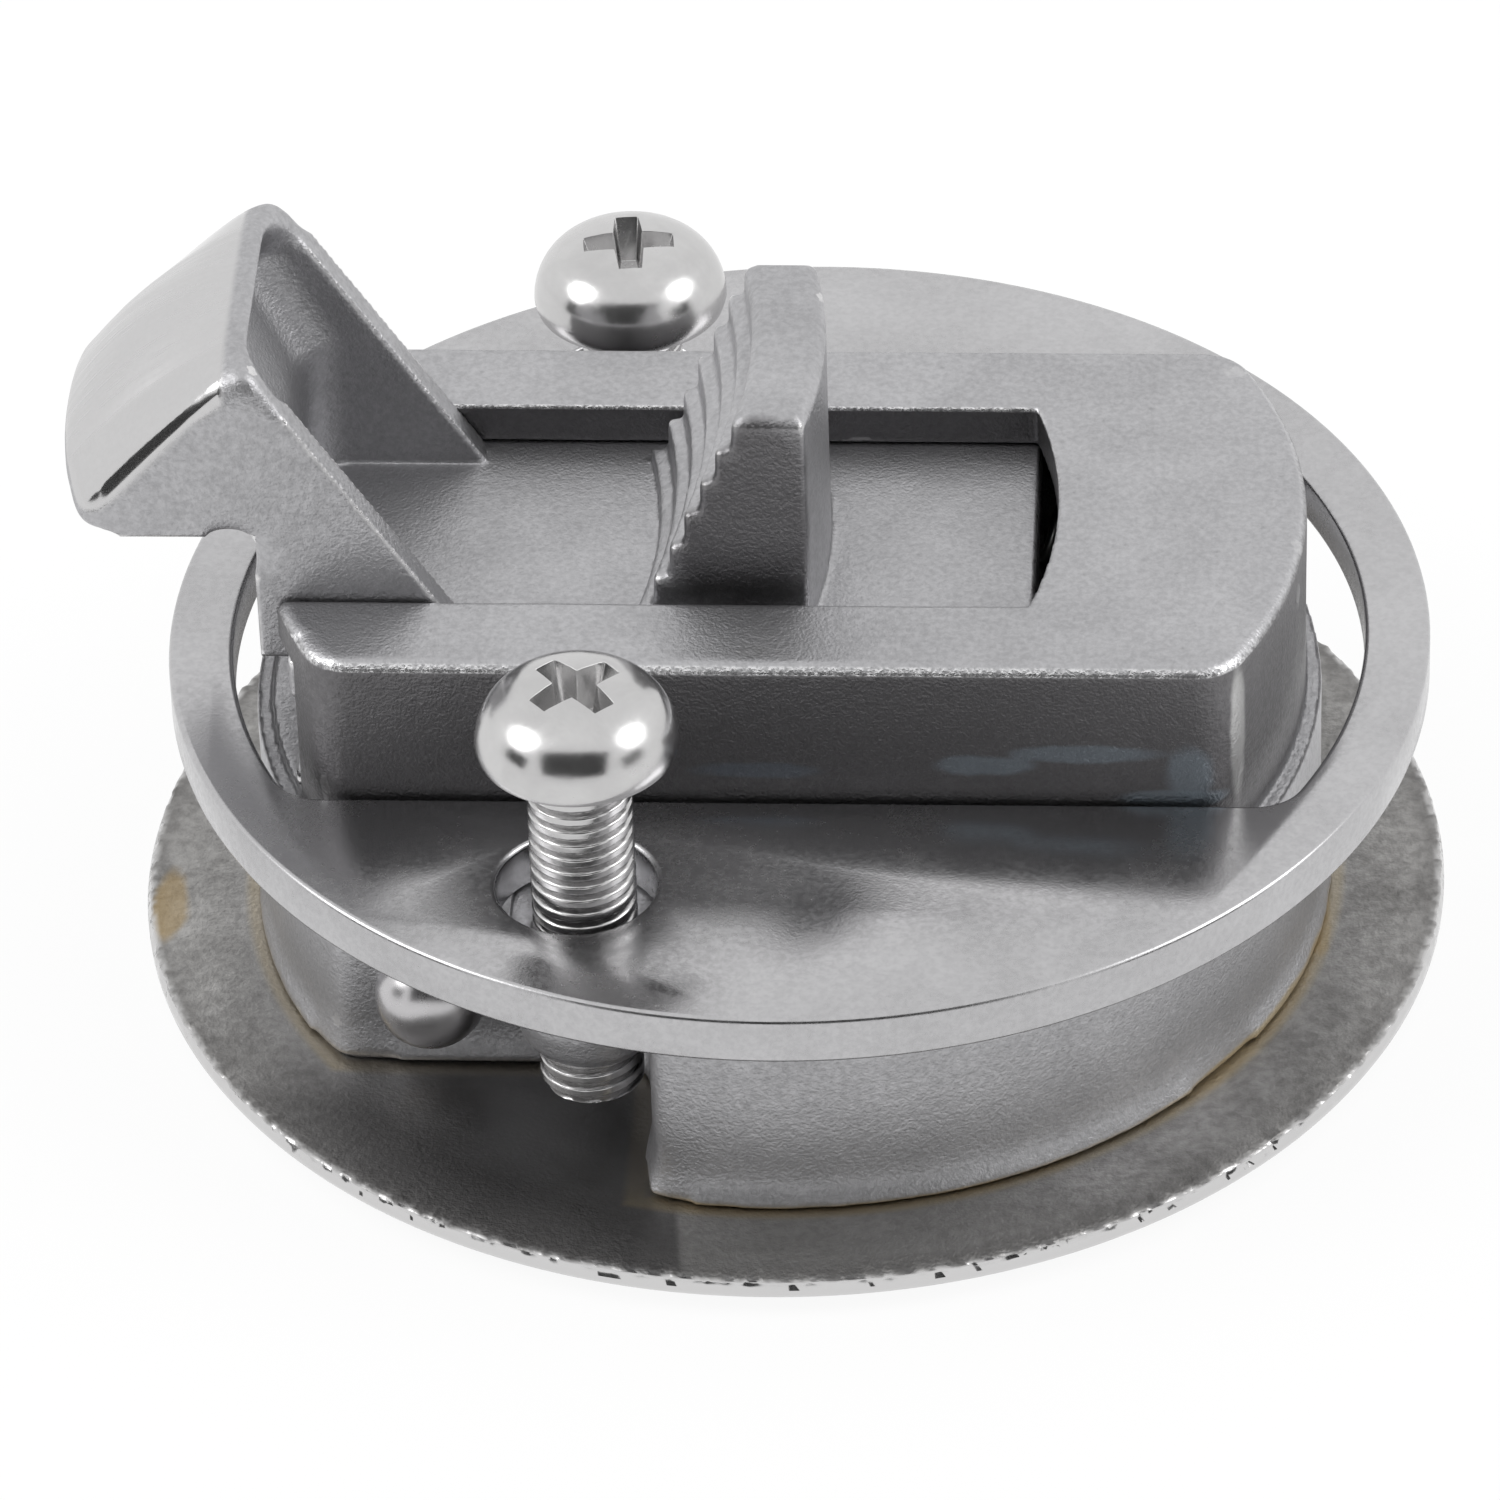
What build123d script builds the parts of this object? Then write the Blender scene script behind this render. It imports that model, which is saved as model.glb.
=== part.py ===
# Flush pull slam latch, cast stainless steel, for a 51 mm round hole in a hatch or locker door.
# Millimetres. The latch lies on its front face, as it does when it is laid down for fitting:
# the origin is the centre of the flange's front face, +Z points to the inside of the door,
# and the slam bolt points along -X.
# Places along X are set in from the edge of the drum, so that they follow its radius.
import os
from math import cos, pi, radians, sin, sqrt, tan

from build123d import *

# Drum, which fills the hole in the door, and its two screw reliefs
BODY_R = 25.5
BODY_TOP = 13.4
CUP_WALL = 2.0
ROOF_T = 2.0
RELIEF_STEP = 2.0
RELIEF_END_X = -5.5
RELIEF_CORNER_R = 1.8
BEAD_W = 0.9
BEAD_H = 0.7

# Bezel flange, a disc with a polished front face and the handle's opening in it
FLANGE_LIP = 6.0
FLANGE_T = 2.0
RIM_SLOPE_W = 3.0
RIM_SLOPE_H = 0.8
FOOT_RECESS = 0.5
FOOT_GAP = 0.05
OPENING_WALL = 2.1
OPENING_END_INSET = 4.5
OPENING_CORNER_R = 3.0
OPENING_BEVEL = 0.3

# Housing that guides the bolt, on the back of the drum
HOUSING_INSET = 0.75
HOUSING_SHARE = 0.506
HOUSING_H = 10.1
HOUSING_CORNER_R = 2.5
HOUSING_BEVEL = 0.4
RAIL_T = 2.1
RAIL_OVERHANG = 2.1
SIDE_WALL = 2.9
FLOOR_STEP = 0.4
SLOT_END_GAP = 1.0
SLOT_END_RISE = 1.2
BOLT_END_GAP = 0.5

# Slam bolt, one casting with its tongue and its thumb tab
BOLT_GAP = 0.15
BOLT_SIDE_GAP = 0.2
BOLT_END_INSET = 13.5
BOLT_TIP_INSET = 2.6
BOLT_CORNER_R = 1.2
TONGUE_SIDE_GAP = 0.2
NOSE_REACH = 8.2
NOSE_CROWN = 1.1
NOSE_TRIM = 0.5
NOSE_H = 1.5
NOSE_R = 0.6
CATCH_ABOVE_HOUSING = 3.4
CATCH_LIP = 1.5
BEVEL_BULGE = 1.0
RIDGE_INSET = 0.8
RIDGE_ABOVE_HOUSING = 12.8
RIDGE_W = 1.0
RIDGE_R = 0.45
NECK_INSET = 1.1
NECK_ROOT_H = 6.0
CHEEK_FOOT_INSET = 10.9
CHEEK_T = 1.5
SCOOP_BACK_T = 1.2
SCOOP_ROOF_T = 2.6
SCOOP_MOUTH_W = 2.4
SCOOP_LENGTH = 14.0
SCOOP_CORNER_R = 2.2
END_SCOOP_R = 2.3
END_SCOOP_H = 3.0
END_SCOOP_OUT = 0.4
TAB_ABOVE_HOUSING = 9.5
TAB_SIDE_INSET = 1.15
TAB_RIGHT_X = 2.2
TAB_TOP_W = 4.25
TAB_FOOT_W = 8.9
TAB_STEPS = 7
TAB_PLAN_R = 29.0
TAB_BEVEL = 0.4

# Springs that push the bolt out
SPRING_INSET = 3.6
SPRING_R = 2.2
SPRING_WIRE = 0.6
SPRING_BORE_GAP = 0.2
SPRING_BORE_DEPTH = 12.0
SPRING_TURNS = 7
COIL_STEPS = 14
SPRING_SEAT_GAP = 0.1

# Handle in the front face, with the lever that pulls the bolt back
PIVOT_INSET = 9.0
PIVOT_Z = 5.5
FLUSH_GAP = 0.3
BLADE_T = 2.4
BLADE_SIDE_GAP = 0.4
FINGER_SPACE = 12.4
BLADE_CORNER_R = 1.5
FINGER_NOTCH_R = 9.5
FINGER_NOTCH_INSET = 5.0
LIP_T = 1.8
LIP_H = 2.2
RIB_T = 1.6
RIB_H = 1.8
RIB_INSET = 0.4
RIB_SHORT = 3.0
HUB_R = 2.9
HUB_GAP = 0.2
BARREL_GAP = 0.25
LEVER_T = 2.6
LEVER_HALF_Y = 2.9
LEVER_IN_BOLT = 4.15
LEVER_NOSE_R = 1.5
LEVER_SIDE_GAP = 0.4
LEVER_STOP_GAP = 0.1
LEVER_TOP_GAP = 0.4
LEVER_SLACK = 0.11
LIFT_DEG = 45.0
SHOULDER_GAP = 0.6
SLOT_RUN_GAP = 1.0

# Pivot pin, riveted over at both ends
PIN_R = 1.6
PIN_RUN_GAP = 0.05
PIN_HEAD_R = 2.35
PIN_HEAD_H = 2.0

# Torsion spring that holds the handle shut
TORSION_WIRE = 0.7
TORSION_CLEAR = 0.2
TORSION_TURNS = 1.25
TORSION_LEG = 7.0
TORSION_TAIL = 1.6
TAIL_HOLE_GAP = 0.15

# Clamp ring behind the door, and its two screws
RING_LIP = 4.65
RING_T = 2.5
RING_END_GAP = 2.3
RING_SIDE_GAP = 0.25
RING_HOLE_GAP = 1.3
RING_HOLE_INSET = 0.9
RING_SHIFT_X = 0.5
RING_SHIFT_Y = 0.6
SCREW_FROM_HOUSING = 7.1
SCREW_FROM_WALL = 3.0
SCREW_R = 2.45
SCREW_TAP_GAP = 0.05
SCREW_LENGTH = 19.5
SCREW_TIP_GAP = 0.1
SCREW_STAGGER = 3.1
SCREW_TIP_BEVEL = 0.5
SCREW_HEAD_R = 4.7
SCREW_HEAD_H = 3.7
RECESS_SPAN = 4.9
RECESS_BLADE = 1.3
RECESS_DEPTH = 2.2
LUG_WALL = 1.2
LUG_H = 4.4
LUG_BEVEL = 0.8

# Radii and heights that follow from the sizes above
flange_r = BODY_R + FLANGE_LIP
foot_z = FLANGE_T - FOOT_RECESS
foot_recess_r = BODY_R + BEAD_W + FOOT_GAP
opening_end_r = BODY_R - OPENING_END_INSET
housing_half_y = HOUSING_SHARE * BODY_R
relief_half_y = housing_half_y + RELIEF_STEP
cup_half_y = relief_half_y - CUP_WALL
opening_half_y = cup_half_y - OPENING_WALL
roof_z = BODY_TOP - ROOF_T
housing_r = BODY_R - HOUSING_INSET
housing_top = BODY_TOP + HOUSING_H
channel_floor = BODY_TOP + FLOOR_STEP
channel_top = housing_top - RAIL_T
channel_half_y = housing_half_y - SIDE_WALL
slot_half_y = channel_half_y - RAIL_OVERHANG
bolt_bottom = channel_floor + BOLT_GAP
bolt_top = channel_top - BOLT_GAP
bolt_half_y = channel_half_y - BOLT_SIDE_GAP
bolt_end_x = BODY_R - BOLT_END_INSET
bolt_tip_x = BOLT_TIP_INSET - BODY_R
tongue_half_y = slot_half_y - TONGUE_SIDE_GAP
neck_x = NECK_INSET - BODY_R
nose_x = -BODY_R - NOSE_REACH
nose_plan_r = (tongue_half_y**2 + NOSE_CROWN**2) / (2 * NOSE_CROWN)
ridge_x = RIDGE_INSET - BODY_R
ridge_z = housing_top + RIDGE_ABOVE_HOUSING
catch_z = housing_top + CATCH_ABOVE_HOUSING
cheek_foot_x = CHEEK_FOOT_INSET - BODY_R
tab_top = housing_top + TAB_ABOVE_HOUSING
tab_half_y = tongue_half_y - TAB_SIDE_INSET
spring_y = bolt_half_y - SPRING_INSET
spring_z = (bolt_bottom + bolt_top) / 2

# The handle's swing and the bolt's travel
pivot_x = PIVOT_INSET - BODY_R
lever_reach = bolt_bottom + LEVER_IN_BOLT - PIVOT_Z
lever_top = PIVOT_Z + lever_reach + LEVER_NOSE_R
lever_slot_half_y = LEVER_HALF_Y + LEVER_SIDE_GAP
bolt_travel = lever_reach * sin(radians(LIFT_DEG)) - LEVER_SLACK
channel_end_x = bolt_end_x + bolt_travel + BOLT_END_GAP
slot_end_x = bolt_end_x + SLOT_END_GAP
barrel_r = PIVOT_Z - FLUSH_GAP
blade_half_y = opening_half_y - BLADE_SIDE_GAP
blade_back = FLUSH_GAP + BLADE_T
blade_end_x = opening_end_r - FINGER_SPACE
finger_notch_x = opening_end_r - FINGER_NOTCH_INSET
opening_left_x = pivot_x - sqrt(barrel_r**2 - (PIVOT_Z - FLANGE_T) ** 2) - BLADE_SIDE_GAP
torsion_coil_r = PIVOT_Z - foot_z - TORSION_WIRE / 2 - TORSION_CLEAR

# Clamp ring and screws
ring_r = BODY_R + RING_LIP
screw_x = RELIEF_END_X - SCREW_FROM_WALL
screw_y = housing_half_y + SCREW_FROM_HOUSING
screw_rear_z = foot_z + SCREW_TIP_GAP + SCREW_LENGTH
screw_front_z = screw_rear_z + SCREW_STAGGER
tap_r = SCREW_R + SCREW_TAP_GAP
lug_r = tap_r + LUG_WALL
lug_bottom = BODY_TOP - LUG_H


def cylinder(radius, z_low, z_high, x=0.0, y=0.0):
    """A round bar along Z between two heights."""
    bar = Cylinder(radius, z_high - z_low, align=(Align.CENTER, Align.CENTER, Align.MIN))
    return Pos(x, y, z_low) * bar


def cross_bar(radius, x, z, y_low, y_high):
    """A round bar along Y between two places."""
    return Pos(x, (y_low + y_high) / 2, z) * Rot(90, 0, 0) * Cylinder(radius, y_high - y_low)


def block(x_low, x_high, y_low, y_high, z_low, z_high):
    """A square-edged block between two corners."""
    size = (x_high - x_low, y_high - y_low, z_high - z_low)
    centre = ((x_low + x_high) / 2, (y_low + y_high) / 2, (z_low + z_high) / 2)
    return Pos(*centre) * Box(*size)


def raised(plan, z_low, z_high):
    """A plan in the XY plane made solid between two heights."""
    return Pos(0, 0, z_low) * extrude(plan, z_high - z_low)


def turned(*points):
    """A closed outline of (radius, height) points turned about Z."""
    return revolve(Plane.XZ * make_face(Polyline(*points, close=True)), Axis.Z)


def strip_plan(radius, half_y, corner_r):
    """A disc cut down to a strip, as the housing and the ring's opening are."""
    plan = Circle(radius) & Rectangle(4 * radius, 2 * half_y)
    return fillet(plan.vertices(), corner_r)


def drum_plan(inset):
    """The drum's outline with its two screw reliefs, moved in by the thickness of a wall."""
    radius = BODY_R - inset
    half_y = relief_half_y - inset
    end_x = RELIEF_END_X + inset
    plan = Circle(radius)
    for side in (1, -1):
        plan -= Pos(end_x - radius, side * (half_y + radius)) * Rectangle(2 * radius, 2 * radius)
    inner = plan.vertices().filter_by(lambda v: abs(v.X - end_x) < 0.01 and abs(v.Y) < half_y + 0.01)
    return fillet(inner, RELIEF_CORNER_R)


def opening_plan():
    """The opening in the front face, square at the hinge end and round at the finger end."""
    right_half = Pos(BODY_R, 0) * Rectangle(2 * BODY_R, 2 * opening_half_y)
    hinge_end = Pos(opening_left_x / 2, 0) * Rectangle(-opening_left_x, 2 * opening_half_y)
    plan = hinge_end + (Circle(opening_end_r) & right_half)
    return fillet(plan.vertices().filter_by(lambda v: v.X > 0), OPENING_CORNER_R)


def make_bezel_flange():
    disc = turned(
        (0, 0),
        (flange_r - RIM_SLOPE_W, 0),
        (flange_r, RIM_SLOPE_H),
        (flange_r, FLANGE_T),
        (foot_recess_r, FLANGE_T),
        (foot_recess_r, foot_z),
        (0, foot_z),
    )
    disc -= raised(opening_plan(), 0, FLANGE_T)
    front = disc.faces().sort_by(Axis.Z)[0]
    return chamfer(front.inner_wires()[0].edges(), OPENING_BEVEL)


def make_lug(side):
    """The lug that a clamp screw is threaded into, in the corner of its relief."""
    y = side * screw_y
    lug = cylinder(lug_r, lug_bottom, BODY_TOP, screw_x, y)
    lug = chamfer(lug.edges().group_by(Axis.Z)[0], LUG_BEVEL)
    low, high = sorted((y, side * (relief_half_y - CUP_WALL / 2)))
    web = block(screw_x - lug_r, RELIEF_END_X + CUP_WALL / 2, low, high, lug_bottom + LUG_BEVEL, BODY_TOP)
    return (lug + web) & cylinder(BODY_R, lug_bottom, BODY_TOP)


def make_housing():
    """The box on the back of the drum, open at the bolt's end and slotted along its top."""
    housing = raised(strip_plan(housing_r, housing_half_y, HOUSING_CORNER_R), roof_z, housing_top)
    housing = chamfer(housing.edges().group_by(Axis.Z)[-1], HOUSING_BEVEL)
    housing -= block(-BODY_R, channel_end_x, -channel_half_y, channel_half_y, channel_floor, channel_top)
    slot_end_r = (slot_half_y**2 + SLOT_END_RISE**2) / (2 * SLOT_END_RISE)
    slot_low = channel_top - RAIL_T / 2
    slot = block(-BODY_R, slot_end_x, -slot_half_y, slot_half_y, slot_low, housing_top)
    rounded = cylinder(slot_end_r, slot_low, housing_top, slot_end_x - slot_end_r)
    straight = block(-BODY_R, 0, -slot_half_y, slot_half_y, slot_low, housing_top)
    return housing - (slot & (rounded + straight))


def make_lever_slot():
    """The slot in the cup's roof that the lever swings through; its closed end stops the handle."""
    swing = radians(LIFT_DEG)
    left = pivot_x - LEVER_T / 2 - LEVER_STOP_GAP
    lever_side = LEVER_T / 2 / cos(swing)
    right = pivot_x + (channel_floor - PIVOT_Z) * tan(swing) + lever_side + SLOT_RUN_GAP
    return block(left, right, -lever_slot_half_y, lever_slot_half_y, roof_z, channel_floor)


def make_latch_body():
    bead = raised(offset(drum_plan(0), BEAD_W), foot_z, foot_z + BEAD_H)
    body = raised(drum_plan(0), foot_z, BODY_TOP) + bead + make_housing()
    for side in (1, -1):
        body += make_lug(side)
    body -= raised(drum_plan(CUP_WALL), foot_z, roof_z)
    for side in (1, -1):
        body -= cylinder(tap_r, foot_z, BODY_TOP, screw_x, side * screw_y)
    barrel_half_y = blade_half_y + BLADE_SIDE_GAP
    spring_room = torsion_coil_r + TORSION_WIRE / 2 + BARREL_GAP
    body -= cross_bar(barrel_r + BARREL_GAP, pivot_x, PIVOT_Z, -barrel_half_y, barrel_half_y)
    body -= cross_bar(spring_room, pivot_x, PIVOT_Z, -cup_half_y, cup_half_y)
    body -= cross_bar(PIN_R, pivot_x, PIVOT_Z, -relief_half_y, relief_half_y)
    return body - make_lever_slot()


def tongue_outline():
    """The tongue from the front: catch face, nose, bulging slam bevel, ridge and sloping cheek."""
    root_z = bolt_bottom + NECK_ROOT_H
    ridge_left = (ridge_x - RIDGE_W / 2, ridge_z)
    nose_tip = (nose_x - NOSE_TRIM, catch_z + NOSE_H)
    straight = Polyline(
        nose_tip,
        (nose_x + CATCH_LIP, catch_z),
        (neck_x, catch_z),
        (neck_x, root_z),
        (cheek_foot_x, root_z),
        (cheek_foot_x, bolt_top),
        (ridge_x + RIDGE_W / 2, ridge_z),
        ridge_left,
    )
    bulge = ((nose_tip[0] + ridge_left[0]) / 2, (nose_tip[1] + ridge_left[1]) / 2)
    middle = (bulge[0] - BEVEL_BULGE, bulge[1] + BEVEL_BULGE)
    return make_face(straight + ThreePointArc(ridge_left, middle, nose_tip))


def make_scoop():
    """The hollow between the two cheeks."""
    half_y = tongue_half_y - CHEEK_T
    back_x = neck_x + SCOOP_BACK_T
    outline = Polyline(
        (back_x, bolt_top),
        (back_x, catch_z + SCOOP_BACK_T),
        (ridge_x - SCOOP_BACK_T, ridge_z - SCOOP_ROOF_T),
        (ridge_x + SCOOP_MOUTH_W, ridge_z + SCOOP_MOUTH_W),
        (back_x + SCOOP_LENGTH, ridge_z + SCOOP_MOUTH_W),
        (back_x + SCOOP_LENGTH, bolt_top),
        close=True,
    )
    scoop = extrude(Plane.XZ * make_face(outline), half_y, both=True)
    left_edges = scoop.edges().filter_by(
        lambda e: abs(abs(e.center().Y) - half_y) < 0.01
        and e.center().X < back_x + 1.0
        and e.center().Z > bolt_top + 0.1
    )
    return fillet(left_edges, SCOOP_CORNER_R)


def make_tongue():
    """The tongue, with its nose crowned in plan and rounded above and below."""
    tongue = extrude(Plane.XZ * tongue_outline(), tongue_half_y, both=True)
    across = tongue.edges().filter_by(Axis.Y)
    neck = across.filter_by(lambda e: abs(e.center().X - neck_x) < 0.1 and e.center().Z > catch_z - 0.1)
    ridge = across.filter_by(lambda e: e.center().Z > ridge_z - 0.1)
    tongue = fillet(neck + ridge, RIDGE_R)
    tongue &= cylinder(nose_plan_r, bolt_bottom, ridge_z, nose_x + nose_plan_r)
    nose = tongue.edges().filter_by(lambda e: abs(e.center().X - nose_x) < 0.01)
    return fillet(nose, NOSE_R) - make_scoop()


def make_thumb_tab():
    """The upright tab, with a stepped thumb face that is hollow in plan."""
    foot_z_low = bolt_top - BOLT_GAP
    tab = block(TAB_RIGHT_X - TAB_FOOT_W, TAB_RIGHT_X, -tab_half_y, tab_half_y, foot_z_low, tab_top)
    tab &= cylinder(TAB_PLAN_R, foot_z_low, tab_top, TAB_RIGHT_X - TAB_PLAN_R)
    corner_back = sqrt(TAB_PLAN_R**2 - tab_half_y**2)
    step_h = (tab_top - bolt_top) / (TAB_STEPS - 0.5)
    step_w = (TAB_FOOT_W - TAB_TOP_W) / (TAB_STEPS - 1)
    for i in range(TAB_STEPS):
        corner_x = TAB_RIGHT_X - TAB_FOOT_W + i * step_w
        low = bolt_top + (i - 0.5) * step_h
        tab -= cylinder(TAB_PLAN_R, low, low + step_h, corner_x - corner_back)
    top_edges = tab.edges().filter_by(lambda e: e.bounding_box().min.Z > tab_top - 0.01)
    return chamfer(top_edges, TAB_BEVEL)


def make_slide_bolt():
    bolt = block(bolt_tip_x, bolt_end_x, -bolt_half_y, bolt_half_y, bolt_bottom, bolt_top)
    bolt = fillet(bolt.edges().filter_by(Axis.Z).group_by(Axis.X)[-1], BOLT_CORNER_R)
    bolt &= cylinder(housing_r, bolt_bottom, bolt_top)
    bolt -= cross_bar(END_SCOOP_R, bolt_tip_x - END_SCOOP_OUT, bolt_bottom + END_SCOOP_H, -BODY_R, BODY_R)
    bolt += make_tongue()
    bolt += make_thumb_tab()
    shoulder_x = pivot_x + LEVER_NOSE_R + SHOULDER_GAP
    fork_top = lever_top + LEVER_TOP_GAP
    bolt -= block(-BODY_R, shoulder_x, -lever_slot_half_y, lever_slot_half_y, bolt_bottom, fork_top)
    bore = Rot(0, 90, 0) * Cylinder(SPRING_R + SPRING_BORE_GAP, SPRING_BORE_DEPTH)
    for side in (1, -1):
        bolt -= Pos(bolt_end_x - SPRING_BORE_DEPTH / 2, side * spring_y, spring_z) * bore
    return bolt


def coil_points(radius, length, turns):
    """Places along a coil wound round Z, from height 0 on its +X side."""
    count = round(COIL_STEPS * turns)
    turn = [2 * pi * i / COIL_STEPS for i in range(count + 1)]
    return [(radius * cos(a), radius * sin(a), length * i / count) for i, a in enumerate(turn)]


def square_wire(points, wire):
    """Square wire bent at each of the given places."""
    path = Polyline(*points)
    section = Plane(origin=path @ 0, x_dir=(1, 0, 0), z_dir=path % 0) * Rectangle(wire, wire)
    return sweep(section, path=path, transition=Transition.RIGHT)


def make_bolt_spring(side):
    """A compression spring between the bottom of its bore and the end wall of the housing."""
    left = bolt_end_x - SPRING_BORE_DEPTH + SPRING_SEAT_GAP + SPRING_WIRE / 2
    length = channel_end_x - SPRING_SEAT_GAP - SPRING_WIRE / 2 - left
    coil = square_wire(coil_points(SPRING_R - SPRING_WIRE / 2, length, SPRING_TURNS), SPRING_WIRE)
    return Pos(left, side * spring_y, spring_z) * Rot(0, 90, 0) * coil


def make_blade():
    """The flush plate, with its finger notch, a lip behind the notch and two ribs."""
    blade = block(pivot_x, blade_end_x, -blade_half_y, blade_half_y, FLUSH_GAP, blade_back)
    blade = fillet(blade.edges().filter_by(Axis.Z).group_by(Axis.X)[-1], BLADE_CORNER_R)
    rib_low = blade_back - RIB_INSET
    inner = blade_half_y - RIB_INSET
    lip = cylinder(FINGER_NOTCH_R + LIP_T, rib_low, blade_back + LIP_H, finger_notch_x)
    blade += lip & block(pivot_x, blade_end_x - RIB_INSET, -inner, inner, rib_low, blade_back + LIP_H)
    for side in (1, -1):
        low, high = sorted((side * inner, side * (inner - RIB_T)))
        blade += block(pivot_x, blade_end_x - RIB_SHORT, low, high, rib_low, blade_back + RIB_H)
    return blade - cylinder(FINGER_NOTCH_R, FLUSH_GAP, blade_back + LIP_H, finger_notch_x)


def make_pull_handle():
    """Blade, hinge barrel and lever in one casting."""
    hub_half_y = cup_half_y - HUB_GAP
    tip_z = PIVOT_Z + lever_reach
    handle = make_blade()
    handle += cross_bar(barrel_r, pivot_x, PIVOT_Z, -blade_half_y, blade_half_y)
    handle += cross_bar(HUB_R, pivot_x, PIVOT_Z, -hub_half_y, hub_half_y)
    handle += block(pivot_x - LEVER_T / 2, pivot_x + LEVER_T / 2, -LEVER_HALF_Y, LEVER_HALF_Y, PIVOT_Z, tip_z)
    handle += cross_bar(LEVER_NOSE_R, pivot_x, tip_z, -LEVER_HALF_Y, LEVER_HALF_Y)
    handle -= cross_bar(PIN_R + PIN_RUN_GAP, pivot_x, PIVOT_Z, -hub_half_y, hub_half_y)
    hole_r = TORSION_WIRE / 2 + TAIL_HOLE_GAP
    hole_end_y = blade_half_y - TORSION_TAIL - TAIL_HOLE_GAP
    return handle - cross_bar(hole_r, pivot_x - torsion_coil_r, PIVOT_Z, hole_end_y, blade_half_y)


def make_handle_pin():
    """A plain pin with a riveted head on each end, outside the walls of the drum."""
    pin = cross_bar(PIN_R, pivot_x, PIVOT_Z, -relief_half_y, relief_half_y)
    shoulder = (PIN_HEAD_R * cos(radians(45)), PIN_HEAD_H * sin(radians(45)))
    dome = turned((0, 0), (PIN_HEAD_R, 0), shoulder, (0, PIN_HEAD_H))
    for side in (1, -1):
        pin += Pos(pivot_x, side * relief_half_y, PIVOT_Z) * Rot(-90 * side, 0, 0) * dome
    return pin


def make_handle_spring():
    """A torsion spring on the handle's hub: its tail sits in the barrel and its leg on the flange."""
    start_y = blade_half_y + TORSION_WIRE / 2 + TORSION_CLEAR
    width = cup_half_y - start_y - TORSION_WIRE / 2 - TORSION_CLEAR
    coil = coil_points(torsion_coil_r, width, TORSION_TURNS)
    bends = [(pivot_x - x, start_y + z, PIVOT_Z - y) for x, y, z in coil]
    tail = (pivot_x - torsion_coil_r, blade_half_y - TORSION_TAIL, PIVOT_Z)
    leg = (pivot_x + TORSION_LEG, start_y + width, PIVOT_Z - torsion_coil_r)
    return square_wire([tail, *bends, leg], TORSION_WIRE)


def make_clamp_ring():
    """The flat ring. It is loose, and lies a little off the middle of the drum."""
    opening_half_width = housing_half_y + RING_SIDE_GAP + RING_SHIFT_Y
    plan = Circle(ring_r) - strip_plan(housing_r + RING_END_GAP, opening_half_width, HOUSING_CORNER_R)
    for side in (1, -1):
        plan -= Pos(screw_x - RING_HOLE_INSET, side * screw_y) * Circle(SCREW_R + RING_HOLE_GAP)
    return Pos(RING_SHIFT_X, RING_SHIFT_Y, 0) * raised(plan, BODY_TOP, BODY_TOP + RING_T)


def make_clamp_screw(side, seat_z):
    """A pan head screw with a cross recess, threaded through its lug."""
    shank = cylinder(SCREW_R, seat_z - SCREW_LENGTH, seat_z)
    shank = chamfer(shank.edges().group_by(Axis.Z)[0], SCREW_TIP_BEVEL)
    top = seat_z + SCREW_HEAD_H
    pan = [(1, 0), (1, 0.35), (0.84, 0.78)]
    edge = [(SCREW_HEAD_R * r, seat_z + SCREW_HEAD_H * h) for r, h in pan]
    screw = shank + turned((0, seat_z), *edge, (0, top))
    cross = Rectangle(RECESS_SPAN, RECESS_BLADE) + Rectangle(RECESS_BLADE, RECESS_SPAN)
    screw -= raised(cross, top - RECESS_DEPTH, top)
    return Pos(screw_x, side * screw_y, 0) * screw


def make_parts():
    return {
        "bezel_flange": make_bezel_flange(),
        "latch_body": make_latch_body(),
        "slide_bolt": make_slide_bolt(),
        "bolt_spring_front": make_bolt_spring(-1),
        "bolt_spring_rear": make_bolt_spring(1),
        "pull_handle": make_pull_handle(),
        "handle_pin": make_handle_pin(),
        "handle_spring": make_handle_spring(),
        "clamp_ring": make_clamp_ring(),
        "clamp_screw_front": make_clamp_screw(-1, screw_front_z),
        "clamp_screw_rear": make_clamp_screw(1, screw_rear_z),
    }


os.makedirs("parts", exist_ok=True)
for name, shape in make_parts().items():
    export_step(shape, f"parts/{name}.step")
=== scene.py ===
from math import atan2, cos, degrees, hypot, pi, radians, sin, sqrt

import bmesh
import bpy
from mathutils import Matrix, Vector


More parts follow.
